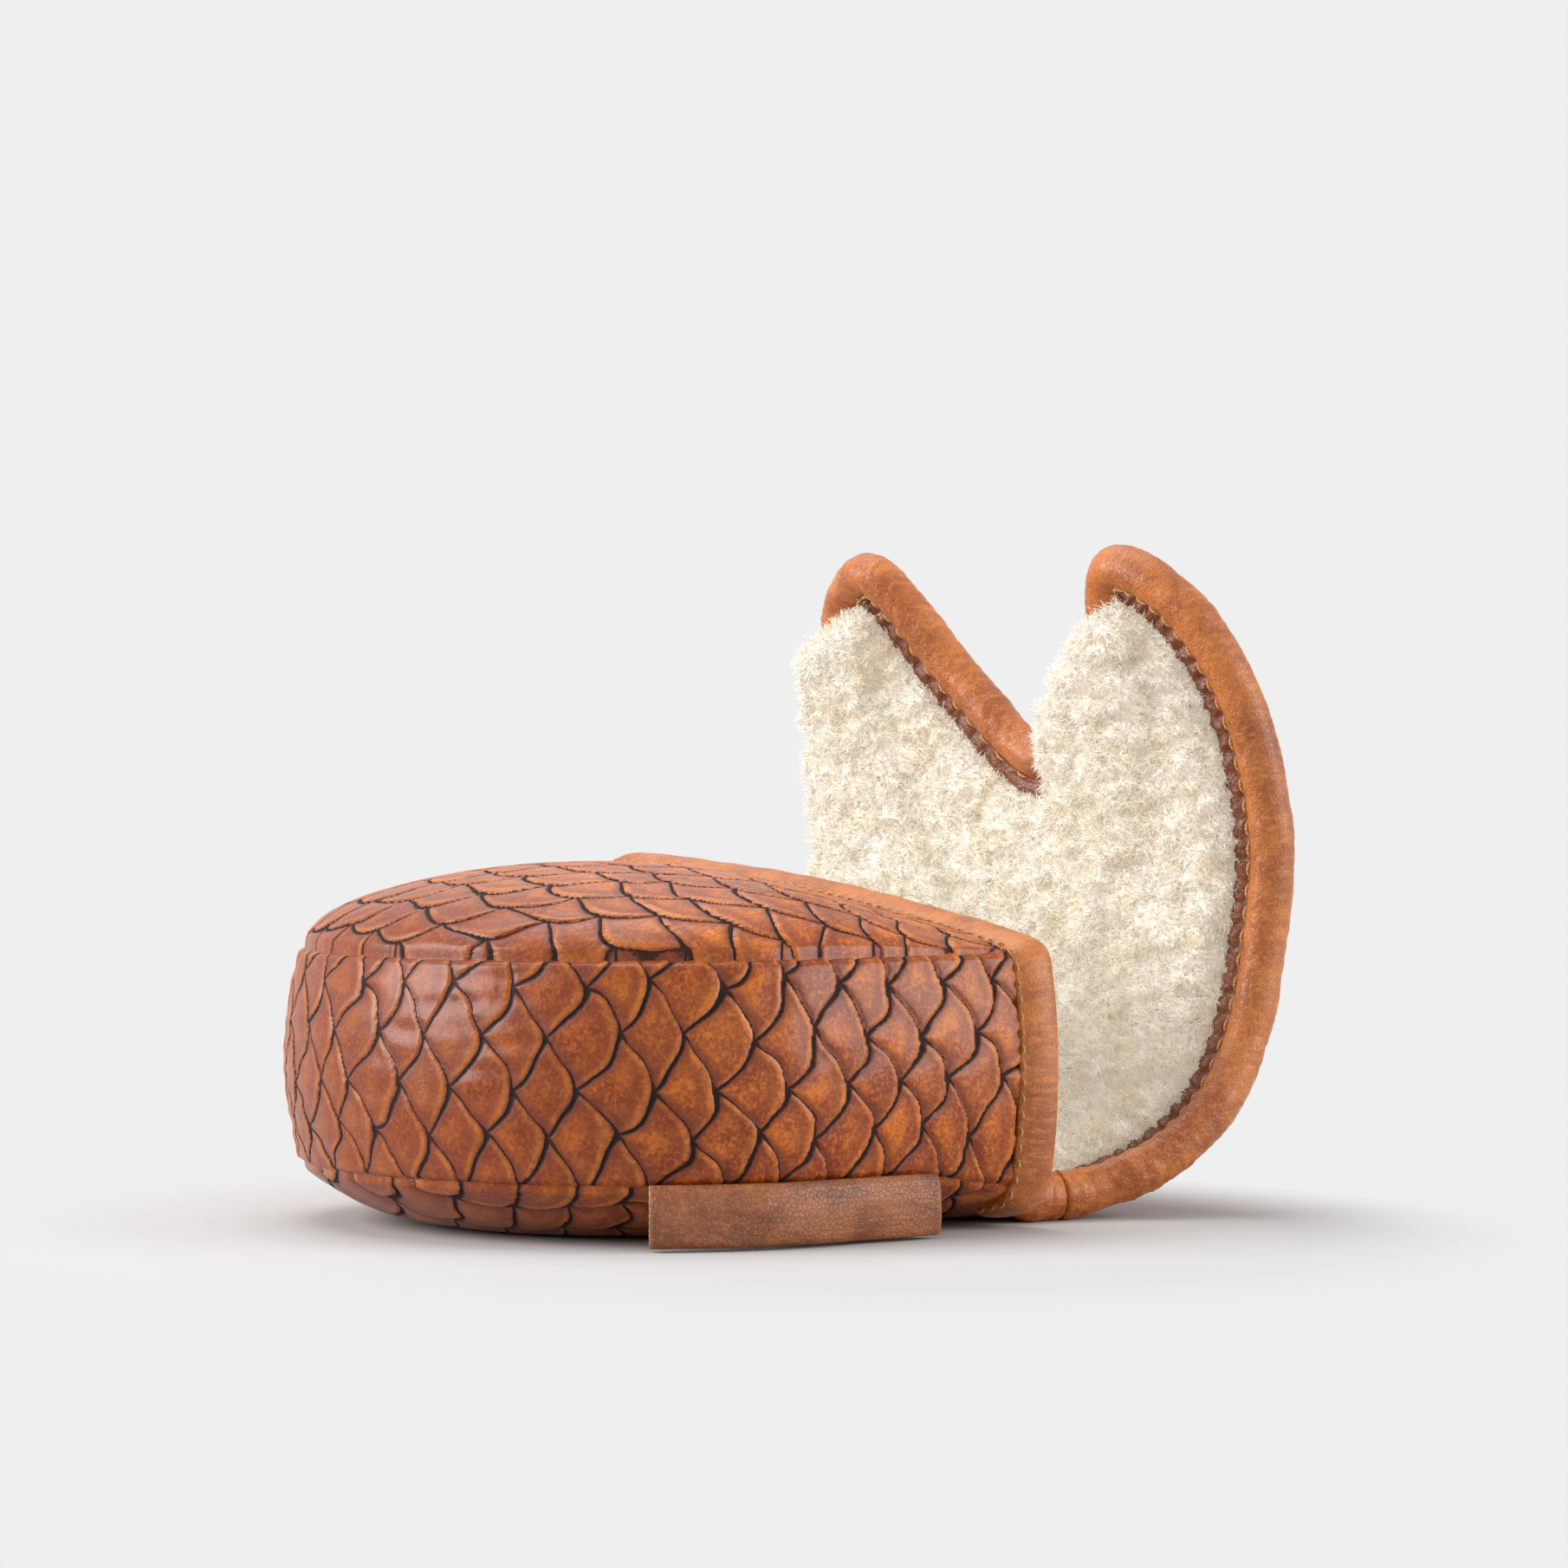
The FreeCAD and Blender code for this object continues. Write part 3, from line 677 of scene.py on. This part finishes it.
def flap_point(s, y, c):
    """Point at s, y, c: the profile's own arcs, moved along their normals by the depth."""
    s, y, c = np.broadcast_arrays(np.asarray(s, float), y, c)
    angle = np.clip((s - flap_straight) / lower_radius, 0, lower_turn)
    rest = np.maximum(s - flap_straight - lower_radius * lower_turn, 0)
    angle = angle + rest / upper_radius
    low = np.minimum(angle, lower_turn)
    high = np.maximum(angle, lower_turn)
    x = hinge_x + np.minimum(s, flap_straight) + lower_radius * np.sin(low)
    z = flap_lift + lower_radius * (1 - np.cos(low))
    x = x + upper_radius * (np.sin(high) - math.sin(lower_turn))
    z = z + upper_radius * (math.cos(lower_turn) - np.cos(high))
    return np.stack([x - np.sin(angle) * c, y + 0 * x, z + np.cos(angle) * c], axis=-1)


def smooth_line(points, step):
    """Curve through the points: Catmull-Rom between them, taken at even steps."""
    ends = np.concatenate([[2 * points[0] - points[1]], points, [2 * points[-1] - points[-2]]])
    t = np.linspace(0, 1, 30, endpoint=False)[:, None]
    parts = []
    for k in range(len(points) - 1):
        a, b, c, d = ends[k:k + 4]
        parts.append(0.5 * (2 * b + (c - a) * t + (2 * a - 5 * b + 4 * c - d) * t ** 2
                            + (3 * b - a - 3 * c + d) * t ** 3))
    dense = np.concatenate(parts + [points[-1:]])
    run = np.concatenate([[0], np.cumsum(np.linalg.norm(np.diff(dense, axis=0), axis=1))])
    even = np.linspace(0, run[-1], int(run[-1] / step) + 1)
    return np.stack([np.interp(even, run, dense[:, k]) for k in (0, 1)], -1), even


rim, rim_run = smooth_line(np.concatenate([side_outline * [1, -1], side_outline[-2::-1]]), 0.55)
rim_length = rim_run[-1]
rim_step = np.gradient(rim, axis=0)
rim_step = rim_step / np.linalg.norm(rim_step, axis=1, keepdims=True)
for _ in range(12):
    rim_step[1:-1] = (rim_step[:-2] + 2 * rim_step[1:-1] + rim_step[2:]) / 4
rim_step = rim_step / np.linalg.norm(rim_step, axis=1, keepdims=True)
rim_inward = np.stack([-rim_step[:, 1], rim_step[:, 0]], -1)
near_hinge = np.exp(-(np.minimum(rim_run, rim_length - rim_run) / 34) ** 2)


def rim_distance(s, y):
    """Distance in from the nearest point of the flap's outline, and the outline's outward y there."""
    flat = np.stack([np.ravel(s), np.ravel(y)], -1)
    distance = np.empty(len(flat))
    outward_y = np.empty(len(flat))
    for start in range(0, len(flat), 4000):
        part = flat[start:start + 4000]
        gap = part[:, None, :] - rim[None, ::2, :]
        square = (gap ** 2).sum(-1)
        nearest = square.argmin(1)
        side = (gap[np.arange(len(part)), nearest] * rim_inward[::2][nearest]).sum(-1)
        distance[start:start + 4000] = np.sqrt(square.min(1)) * np.sign(side)
        outward_y[start:start + 4000] = -rim_inward[::2][nearest][:, 1]
    return distance.reshape(np.shape(s)), outward_y.reshape(np.shape(s))


fold_from = tuple((flap_point(60.0, 0, 1.4) + [pouch_centre_x, 0, 0]) * 0.001)
fold_to = tuple((flap_point(92.0, 0, 1.4) + [pouch_centre_x, 0, 0]) * 0.001)


def bend_with_flap(piece):
    """Bake the piece's placement into its mesh; nothing bends it with the flap."""
    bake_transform(piece)


def patch_mesh(name, front, behind, keep, material, uv=None):
    """Closed sheet from two grids of the same size: the kept faces of both, walled round their rim."""
    rows, columns = front.shape[:2]
    faces = grid_faces(rows, columns)
    r, c = np.divmod(faces[:, 0], columns)
    flat_keep = keep.ravel()
    faces = faces[flat_keep[faces].all(axis=1)]
    edges = np.concatenate([faces[:, [k, (k + 1) % 4]] for k in range(4)])
    key = edges[:, 0].astype(np.int64) * rows * columns + edges[:, 1]
    back_key = edges[:, 1].astype(np.int64) * rows * columns + edges[:, 0]
    border = edges[~np.isin(key, back_key)]
    count = rows * columns
    walls = np.stack([border[:, 1], border[:, 0], border[:, 0] + count, border[:, 1] + count], -1)
    all_faces = np.concatenate([faces, faces[:, ::-1] + count, walls])
    points = np.concatenate([front.reshape(-1, 3), behind.reshape(-1, 3)])
    used, renumbered = np.unique(all_faces, return_inverse=True)
    uv = None if uv is None else np.concatenate([uv.reshape(-1, 2)] * 2)[used]
    return to_mesh(name, points[used], renumbered.reshape(-1, 4), material, uv)


# ------------------------ outer leather of the flap
# Scale leather like the pouch's, lying inside the rolled edge it is sewn to.

leather_step = 0.68
s, y = grid_of(np.arange(3, 158, leather_step), np.arange(-61, 61.1, leather_step))
rim_gap = rim_distance(s, y)[0]
flap_a, flap_b = scale_warp(150 - s, y + 200, 71)
edge_calm = smooth_step((rim_gap - 5.5) / 2.5)
sink = 1.1 * (1 - edge_calm)
outer = flap_point(s, y, sink - scale_relief(flap_a, flap_b) * edge_calm)
behind = flap_point(s, y, 2.2)
flap_leather = patch_mesh("flap_leather", behind, outer, rim_gap > 4.6, embossed,
                          np.stack([flap_a, flap_b], -1) / 100)
bend_with_flap(flap_leather)
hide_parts("flap_front_leather", "flap_top_leather")

# ------------------------ rolled edge of the flap
# A strip of smooth leather rolled over a cord all round the flap. It is sewn down inside the
# roll, and its free inner margin puckers between the stitches. The roll wrinkles at the hinge.

# Its last colour is painted shade, laid on the channel and margin behind the roll.
roll_leather = smooth_leather("rolled edge leather", (0.60, 0.185, 0.034), (0.38, 0.092, 0.014), 0.27, 0.14,
                              pressed=(0.135, 0.034, 0.012))
# Profile as (distance in from the rim, depth): outer face, round the roll, channel, margin, back.
inset, depth = rounded_profile([
    (11.0, 1.2), (9.0, 0.7), (7.4, 0.5), (5.8, -0.25), (4.0, -0.75), (2.2, -0.2), (0.8, 1.1), (0.05, 3.0),
    (0.2, 4.9), (1.1, 6.7), (2.6, 7.8), (4.2, 8.0), (5.8, 7.5), (7.0, 6.5), (7.8, 5.5), (8.4, 5.5), (9.1, 6.1),
    (10.2, 6.4), (11.2, 6.2), (11.9, 5.4), (12.0, 4.4), (11.8, 2.6)], 66, 3)
run = rim_run[:, None]
stitch_pitch = 4.4
margin = smooth_step((inset - 8.0) / 1.2) * smooth_step((depth - 4.0) / 1.5)
between = np.abs(np.sin(math.pi * (run - 8.0) / stitch_pitch))
crinkle = 0.22 * ripple(run, inset, 2.4, 81) + 0.16 * ripple(run, inset, 1.2, 82)
pucker = margin * (0.9 * (between ** 0.6 - 0.6) + crinkle)
rounding = smooth_step((7.6 - inset) / 3.0)
creases = ripple(run + 1.2 * inset, inset * 0.25, 2.3, 83) + 0.6 * ripple(run, inset * 0.3, 1.3, 84)
pull = (between - 0.6) * np.exp(-((inset - 6.6) / 1.9) ** 2) * (depth > 4)
swelling = 0.16 * ripple(run, inset, 14, 85) + creases * (0.07 + 0.20 * near_hinge[:, None]) + 0.40 * pull
centre_in, centre_deep = 4.0, 3.6
out_in = inset - centre_in
out_deep = depth - centre_deep
reach = np.maximum(np.hypot(out_in, out_deep), 0.5)
inset_now = inset + rounding * swelling * out_in / reach + margin * 0.5 * ripple(run, 0 * run, 3.1, 86)
depth_now = depth + rounding * swelling * out_deep / reach + pucker
start_taper = smooth_step(np.minimum(run, rim_length - run) / 5.0)
depth_now = 3.2 + (depth_now - 3.2) * (0.55 + 0.45 * start_taper)
rim_s = rim[:, None, 0] + rim_inward[:, None, 0] * inset_now
rim_y = rim[:, None, 1] + rim_inward[:, None, 1] * inset_now
roll = flap_point(rim_s, rim_y, depth_now)
# Painted shade mask: 1 in the channel behind the roll and on the margin under the pile.
pressed = smooth_step((inset - 7.3) / 0.9) * smooth_step((depth - 3.6) / 1.4) + 0 * run


def roll_piece(name, first, last, tucked=0.0):
    """The stretch of the roll between two rows of its grid, closed at both ends.

    Past the hinge a tucked stretch draws in towards its middle by that share of its width.
    """
    rings = roll[first:last]
    middle = rings.mean(axis=1, keepdims=True)
    past = smooth_step(np.minimum(rim_run, rim_length - rim_run)[first:last] - overlap_from)
    rings = middle + (rings - middle) * (1 - tucked * past[:, None, None])
    piece = tube(name, rings, roll_leather, turned=False, attributes={"pressed": pressed[first:last]})
    return piece


overlap_from, overlap_to = 10.0, 14.0
row_count = len(rim_run)
past_hinge = int(np.searchsorted(rim_run, overlap_from + 1.0))
before_hinge = int(np.searchsorted(rim_run, overlap_to))
rolled_edge = roll_piece("flap_rolled_edge", past_hinge, row_count - past_hinge)
bend_with_flap(rolled_edge)
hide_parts("flap_front_edge_roll", "flap_top_edge_roll", "flap_front_edge_cord",
            "flap_top_edge_cord")
for name, first, last in (("near", 0, before_hinge), ("far", row_count - before_hinge, row_count)):
    hinge_roll = roll_piece("hinge_roll_" + name, first, last, tucked=0.07)
    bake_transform(hinge_roll)



def stitch_line(runs, depth):
    """Points on the line of stitching, which keeps one distance inside the rim, at a depth."""
    line = rim + rim_inward * 7.9
    return flap_point(np.interp(runs, rim_run, line[:, 0]), np.interp(runs, rim_run, line[:, 1]), depth)


even = np.arange(16.8, rim_length - 16.0, stitch_pitch) + stitch_pitch / 2
centres = stitch_line(even, 6.0)
along = stitch_line(even + 0.3, 6.0) - centres
along = along / np.linalg.norm(along, axis=1, keepdims=True)
outward = stitch_line(even, 7.0) - centres
flap_stitches = stitches("flap_stitches", centres, along, outward, 3.0, 0.34, thread)
bend_with_flap(flap_stitches)
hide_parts("flap_front_thread", "flap_top_thread")

# ------------------------ sheepskin
# Cream wool pile, thick and soft, in uneven clumps. A padded skin carries the clumps, and
# thousands of fine tapered tufts stand on it. The pile flops over the edge of its panel.


def wool(name, grain_mm):
    """Cream wool, yellower in patches, with a fine bump if it has a grain, and a faint painted glow from its
    emission that lifts its shade.
    """
    s = Shader(name)
    clump = s.noise(190, 4, 0.6)
    broad = s.noise(45, 3, 0.5)
    colour = s.mix(clump.between(0.34, 0.58), (0.93, 0.845, 0.69), (0.98, 0.935, 0.85))
    colour = s.mix(broad.between(0.55, 0.75) * 0.35, colour, (0.92, 0.82, 0.645))
    height = s.noise(1500, 4, 0.7) + clump * 0.4 if grain_mm else None
    # Painted light: the cream emission makes the pile glow faintly.
    return s.finish(colour, 0.95, height, grain_mm, Specular_IOR_Level=0.1, Sheen_Weight=0.15,
                    Sheen_Roughness=0.6, Emission_Color=(1.0, 0.91, 0.76, 1), Emission_Strength=0.10)


wool_skin = wool("wool skin", 0.25)
wool_tuft = wool("wool tufts", 0)


def clumps(a, b, seed):
    """Height of the wool's clumps, from 0 to 1: a few sets of waves, rounded on top."""
    waves = 0.55 * ripple(a, b, 11, seed) + 0.45 * ripple(a, b, 6.0, seed + 1)
    waves = waves + 0.35 * ripple(a, b, 3.2, seed + 2)
    return 1 / (1 + np.exp(-1.6 * waves))


def tufts(name, roots, lean, length, radius, seed):
    """Closed tapered tufts: a triangle at the root, one further out, bent and thinner, and a point."""
    rng = np.random.default_rng(seed)
    count = len(roots)
    first = lean + rng.normal(size=(count, 3)) * 0.38
    first /= np.linalg.norm(first, axis=1, keepdims=True)
    second = first + rng.normal(size=(count, 3)) * 0.7
    second /= np.linalg.norm(second, axis=1, keepdims=True)
    long = (length * rng.uniform(0.5, 1.3, count))[:, None]
    middle = roots + first * long * 0.5
    tip = middle + second * long * 0.5
    side = np.cross(first, [0.31, 0.62, 0.72])
    side /= np.linalg.norm(side, axis=1, keepdims=True)
    other = np.cross(first, side)
    turn = 2 * np.pi * np.arange(3) / 3
    ring = side[:, None] * np.cos(turn)[None, :, None] + other[:, None] * np.sin(turn)[None, :, None]
    ring = ring * radius * rng.uniform(0.7, 1.3, count)[:, None, None]
    points = np.concatenate([roots[:, None] + ring, middle[:, None] + ring * 0.8, tip[:, None]], 1)
    sides = np.array([[0, 1, 4, 3], [1, 2, 5, 4], [2, 0, 3, 5]])
    ends = np.array([[3, 4, 6], [4, 5, 6], [5, 3, 6], [2, 1, 0]])
    start = 7 * np.arange(count)[:, None, None]
    piece = to_mesh(name, points, (sides + start).reshape(-1, 4), wool_tuft,
                    extra_faces=(ends + start).reshape(-1, 3))
    return piece


def tuft_places(skin, keep, count, seed):
    """Roots picked evenly over a skin's area, and the skin's normals there, leaning in slow swirls."""
    rng = np.random.default_rng(seed)
    along, across = np.gradient(skin, axis=0), np.gradient(skin, axis=1)
    normal = np.cross(along, across)
    area = np.linalg.norm(normal, axis=-1) * keep
    pick = rng.choice(area.size, count, p=area.ravel() / area.sum())
    jitter = rng.uniform(-0.5, 0.5, (count, 2))
    along, across = along.reshape(-1, 3)[pick], across.reshape(-1, 3)[pick]
    roots = skin.reshape(-1, 3)[pick] + along * jitter[:, :1] + across * jitter[:, 1:]
    lean = normal.reshape(-1, 3)[pick]
    lean /= np.linalg.norm(lean, axis=1, keepdims=True)
    along /= np.linalg.norm(along, axis=1, keepdims=True)
    across /= np.linalg.norm(across, axis=1, keepdims=True)
    row, column = np.divmod(pick, skin.shape[1])
    swirl = 0.9 * ripple(row, column, 13, seed + 1)[:, None]
    swirl_across = 0.9 * ripple(row, column, 13, seed + 2)[:, None]
    return roots, lean, along * swirl + across * swirl_across


# ------------------------ lining of the flap
# The sheepskin panel inside the rolled edge. Its pile hangs over the edge on the sides that
# face away from the seat of the club, and leaves the edge of the lobes and notch clear.


skin_step = 0.8
s, y = grid_of(np.arange(5, 160, skin_step), np.arange(-66, 72, skin_step))
gap, outward_y = rim_distance(s, y)
flop = smooth_step((outward_y - 0.15) / 0.6) * smooth_step((s - 34) / 30) * smooth_step((151 - s) / 14)
for _ in range(int(20 / skin_step)):
    wide = np.pad(flop, 1, "edge")
    flop = (wide[:-2, 1:-1] + wide[2:, 1:-1] + wide[1:-1, :-2] + wide[1:-1, 2:] + 4 * flop) / 8
# Distance inside the pile's own border, which lies on the margin or, where it flops, past the roll.
inside = gap - 10.6 + 12.3 * flop + (0.25 + 0.6 * flop) * ripple(s, y, 9, 97)
round_over = np.sqrt(np.clip(1 - (1 - np.clip(inside / 7.5, 0, 1)) ** 2, 0, 1))
border_depth = 3.0 + 4.6 * flop
full_depth = 9.6 + 3.2 * flop + (clumps(s, y, 91) - 0.4) * 3.0
depth = border_depth + (full_depth - border_depth) * round_over
front = flap_point(s, y, depth)
behind = flap_point(s, y, 2.4 + 4.4 * flop * (1 - smooth_step((gap - 8) / 4)))
flap_skin = patch_mesh("flap_lining", front, behind, inside > 0, wool_skin)
bend_with_flap(flap_skin)
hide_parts("flap_front_lining", "flap_top_lining", "flap_front_padding", "flap_top_padding")

tuft_count = 90000
roots, lean, swirl = tuft_places(front, inside > 0.2, tuft_count, 5)
facing = np.sign((lean * np.array([-1.0, 0, 0.3])).sum(1).mean())
roots = roots - lean * facing * 0.4
share = 15000
for number, start in enumerate(range(0, tuft_count, share)):
    part = slice(start, start + share)
    towards = (lean * facing * 0.6 + swirl)[part]
    bend_with_flap(tufts(f"flap_wool_{number + 1}", roots[part], towards, 2.6, 0.126, 100 + number))

# ------------------------ hinge of the flap
# The bottom panel's leather and its sheepskin run on under the mouth into the flap and bend
# along the hinge line.

x, y = grid_of(np.linspace(46, 71, 40), np.linspace(-51, 51, 120))
rise = sole_height(np.minimum(x, 59), y)
beyond = flap_point(x - hinge_x, y, 0.9)
tongue = np.stack([x, y, np.zeros_like(x)], -1)
blend_in = smooth_step((x - 50) / 12)
tongue[..., 2] = (rise + 0.3) * (1 - blend_in) + beyond[..., 2] * blend_in
tongue[..., 0] = x * (1 - blend_in) + beyond[..., 0] * blend_in
upper = tongue + [0, 0, 1.2]
hinge_leather = patch_mesh("hinge_leather", upper, tongue, np.ones(x.shape, bool), roll_leather)
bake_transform(hinge_leather)

x, y = grid_of(np.linspace(44, 72, 60), np.linspace(-46, 46, 150))
shape = np.clip((46 - np.abs(y)) / 5, 0, 1) ** 0.5
height = 3.6 + 4.0 * shape + (clumps(x, y, 111) - 0.4) * 2.2 * shape
blend_in = smooth_step((x - 54) / 14)
beyond = flap_point(np.maximum(x - hinge_x, 0), y, height)
above_sole = sole_height(np.minimum(x, 52), y) + height
hinge_pile = np.stack([x * (1 - blend_in) + beyond[..., 0] * blend_in, y,
                       above_sole * (1 - blend_in) + beyond[..., 2] * blend_in], -1)
under = hinge_pile.copy()
under[..., 2] -= height - 2.6
hinge_lining = patch_mesh("hinge_lining", hinge_pile, under, np.ones(x.shape, bool), wool_skin)
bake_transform(hinge_lining)

# ------------------------ lining of the pouch
# The same sheepskin on the pouch's walls, roof and floor, with its pile facing inwards.


def pouch_lining(name, wool_name, skin, back, count, seed, replaced):
    """Closed sheepskin between its pile's skin and its back, and tufts standing away from the back."""
    everywhere = np.ones(skin.shape[:2], bool)
    roots, lean, swirl = tuft_places(skin, everywhere, count, seed)
    facing = np.sign((normals_of(skin) * (skin - back)).sum())
    first, second = (skin, back) if facing > 0 else (back, skin)
    piece = patch_mesh(name, first, second, everywhere, wool_skin)
    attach(piece, "pouch")
    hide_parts(*replaced)
    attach(tufts(wool_name, roots, lean * facing + swirl, 3.0, 0.12, seed + 1), "pouch")


def lining_panel(name, height_at, inset, face, seed, replaced):
    """Wool on a D-shaped panel: its skin follows the panel at a depth that swells in clumps."""
    x, y = panel_plan(100, 112, panel_end_x - 1.0)
    x = x * (1 - inset / back_length * (x < 0))
    y = y * (1 - inset / half_width)
    z = height_at(x, y)
    pile = 5.6 + (clumps(x, y, seed) - 0.5) * 2.6
    skin = np.stack([x, y, z + face * pile], -1)
    back = np.stack([x, y, z + face * 1.7], -1)
    pouch_lining(name, name + "_wool", skin, back, 3600, seed, replaced)


def roof_height(x, y):
    """Underside of the padded top: a constant depth below its crown."""
    return top_height(x, y) - 4.6


lining_panel("roof_lining", roof_height, 4.5, -1, 121, ("top_lining", "top_padding"))
lining_panel("floor_lining", sole_height, 3.5, 1, 131, ("bottom_lining", "bottom_padding"))

run, share = grid_of(np.linspace(1.2, wall_length - 1.2, 300), np.linspace(0.06, 0.94, 48))
x, y, nx, ny = plan_point(run)
low, high = lower_seam(x), upper_seam(x, y)
full = wall_fullness(run, share)
pile = 6.4 + (clumps(run, share * 40, 141) - 0.5) * 2.6
z = low + (high - low) * share
skin = np.stack([x + nx * (full - pile), y + ny * (full - pile), z], -1)
back = np.stack([x + nx * (full - 1.7), y + ny * (full - 1.7), z], -1)
pouch_lining("wall_lining", "wall_wool", skin, back, 5200, 151,
             ("gusset_lining", "gusset_padding", "lower_seam_tape", "upper_seam_tape"))

# ------------------------ label tab
# A bare piece of thicker brown leather, folded double over and sewn into the lower seam. Its
# ends are cut raw, and show the fold as a paler core.

tab_leather = smooth_leather("label tab leather", (0.38, 0.120, 0.033), (0.21, 0.057, 0.016), 0.26, 0.22,
                             pressed=(0.40, 0.20, 0.065))
tab_low = 0.6
tab_from, tab_to = 26.4, 82.2
# Section of the folded tab as (distance out from the wall, share of the height from the seam down).
out, down = rounded_profile([
    (0.55, 0.0), (0.5, 0.3), (0.5, 0.7), (0.7, 0.93), (1.6, 1.0), (2.9, 1.0), (3.55, 0.92), (3.75, 0.7),
    (3.7, 0.35), (3.3, 0.05), (2.6, -0.06), (1.4, -0.06)], 60, 2)
run = np.linspace(tab_from, tab_to, 150)[:, None]
x, y, nx, ny = plan_point(run)
out = out + 0.18 * ripple(run, down * 10, 12, 161)
top_z = lower_seam(x) + 0.4
z = top_z + (tab_low - top_z) * down
tab = np.stack([x + nx * out, y + ny * out, z + 0 * x], -1)
cut_end = 1 - smooth_step((np.minimum(run - tab_from, tab_to - run) - 0.1) / 0.5) + 0 * out
label_tab = tube("label_tab_leather", tab, tab_leather, turned=True, attributes={"pressed": cut_end})
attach(label_tab, "pouch")
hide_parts("label_tab", "label_tab_thread")

# ------------------------ magnets
# Nickel-plated discs hidden in the padding of the lobes and of the top panel.

s = Shader("nickel plate")
scuff = s.noise(900, 3, 0.6)
nickel = s.finish(s.mix(scuff, (0.55, 0.55, 0.56), (0.66, 0.66, 0.68)), 0.25 + scuff * 0.15, Metallic=1.0)
for name in ("lobe_magnet_near", "lobe_magnet_far"):
    nodes[name].data.materials.clear()
    nodes[name].data.materials.append(nickel)


def disc(name, x, y, z):
    """Closed disc 12 across and 1.5 thick with rounded rims: a half profile carried round its axis."""
    radius = np.array([0.01, 5.6, 5.9, 6.0, 6.0, 5.9, 5.6, 0.01])
    height = np.array([0.0, 0.0, 0.1, 0.4, 1.1, 1.4, 1.5, 1.5])
    turn = np.linspace(0, 2 * math.pi, 48, endpoint=False)[:, None]
    points = np.stack([x + radius * np.cos(turn), y + radius * np.sin(turn), z + height + 0 * turn], -1)
    caps = [list(range(0, 384, 8))[::-1], list(range(7, 384, 8))]
    return to_mesh(name, points, grid_faces(48, 8, closed_rows=True), nickel, extra_faces=caps)


for name in ("top_magnet_near", "top_magnet_far"):
    low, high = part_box(name)
    x = (low[0] + high[0]) * 500 - pouch_centre_x
    y = (low[1] + high[1]) * 500
    magnet = disc(name + "_disc", x, y, top_height(x, y) - 5.0)
    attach(magnet, "pouch")
    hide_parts(name)

# ------------------------ floor, light and camera
# A pale floor that fades into an even pale background, soft light from all round with the
# main source above, and a level camera a little above the cover.

s = Shader("pale floor")
footprint = s.node("ShaderNodeMapping", None, {"Vector": s.place(), "Location": (0.16, 0.25, 0.0),
                                               "Scale": (9.5, 8.6, 1.0)})
spread = s.node("ShaderNodeVectorMath", {"operation": "LENGTH"}, [footprint], output=1)
diffuse = s.node("ShaderNodeBsdfDiffuse", None, {"Color": (0.60, 0.60, 0.60, 1)})
clear = s.node("ShaderNodeBsdfTransparent")
shown = s.node("ShaderNodeMixShader", None, [spread.between(0.88, 1.34), diffuse, clear])
s.node("ShaderNodeOutputMaterial", None, {"Surface": shown})
floor_mesh = bpy.data.meshes.new("floor")
floor_mesh.from_pydata([(-0.5, -0.5, 0), (0.5, -0.5, 0), (0.5, 0.5, 0), (-0.5, 0.5, 0)], [], [(0, 1, 2, 3)])
floor_mesh.materials.append(s.material)
floor = bpy.data.objects.new("floor", floor_mesh)
bpy.context.collection.objects.link(floor)

world = bpy.data.worlds.new("studio")
world.use_nodes = True
s = Shader("backdrop")
bpy.data.materials.remove(s.material)
s.tree = world.node_tree
s.tree.nodes.clear()
straight = s.node("ShaderNodeLightPath")
mirrored = s.node("ShaderNodeLightPath", output="Is Glossy Ray")
seen = s.node("ShaderNodeBackground", None, {"Color": (0.863, 0.863, 0.863, 1)})
soft = s.node("ShaderNodeBackground", None, {"Color": (1.0, 1.0, 1.0, 1), "Strength": 0.50})
lit = s.node("ShaderNodeMixShader", None, [straight.highest(mirrored), soft, seen])
s.node("ShaderNodeOutputWorld", None, {"Surface": lit})
bpy.context.scene.world = world


def lamp(name, place, aim, size, watts):
    """Square soft box at a place, pointed at another, all in metres."""
    light = bpy.data.lights.new(name, "AREA")
    light.size = size
    light.energy = watts
    obj = bpy.data.objects.new(name, light)
    obj.location = place
    direction = np.array(place) - np.array(aim)
    flat = math.hypot(direction[0], direction[1])
    obj.rotation_euler = (math.atan2(flat, direction[2]), 0, math.atan2(direction[0], -direction[1]))
    bpy.context.collection.objects.link(obj)


across = np.array([0.788, -0.616])
ahead = np.array([0.616, 0.788])
lamp("top softbox", (0.0, 0.22, 0.85), (0, 0, 0), 0.6, 3.4)
lamp("left softbox", (*(-0.82 * across - 0.20 * ahead), 0.40), (0, 0, 0.05), 0.6, 8.8)
lamp("right softbox", (0.50, -0.64, 0.26), (0, 0, 0.03), 0.5, 3.8)

camera_data = bpy.data.cameras.new("camera")
camera_data.sensor_width = 36
camera_data.lens = 127.5
camera_data.clip_start = 0.05
camera = bpy.data.objects.new("camera", camera_data)
centre = np.array([pouch_centre_x * 0.001, 0.0])
eye = centre - 1.0 * ahead + 0.033 * across
camera.location = (eye[0], eye[1], 0.090)
camera.rotation_euler = (math.radians(90 - 0.64), 0, math.radians(-38))
bpy.context.collection.objects.link(camera)
bpy.context.scene.camera = camera
bpy.context.scene.view_settings.view_transform = "Standard"
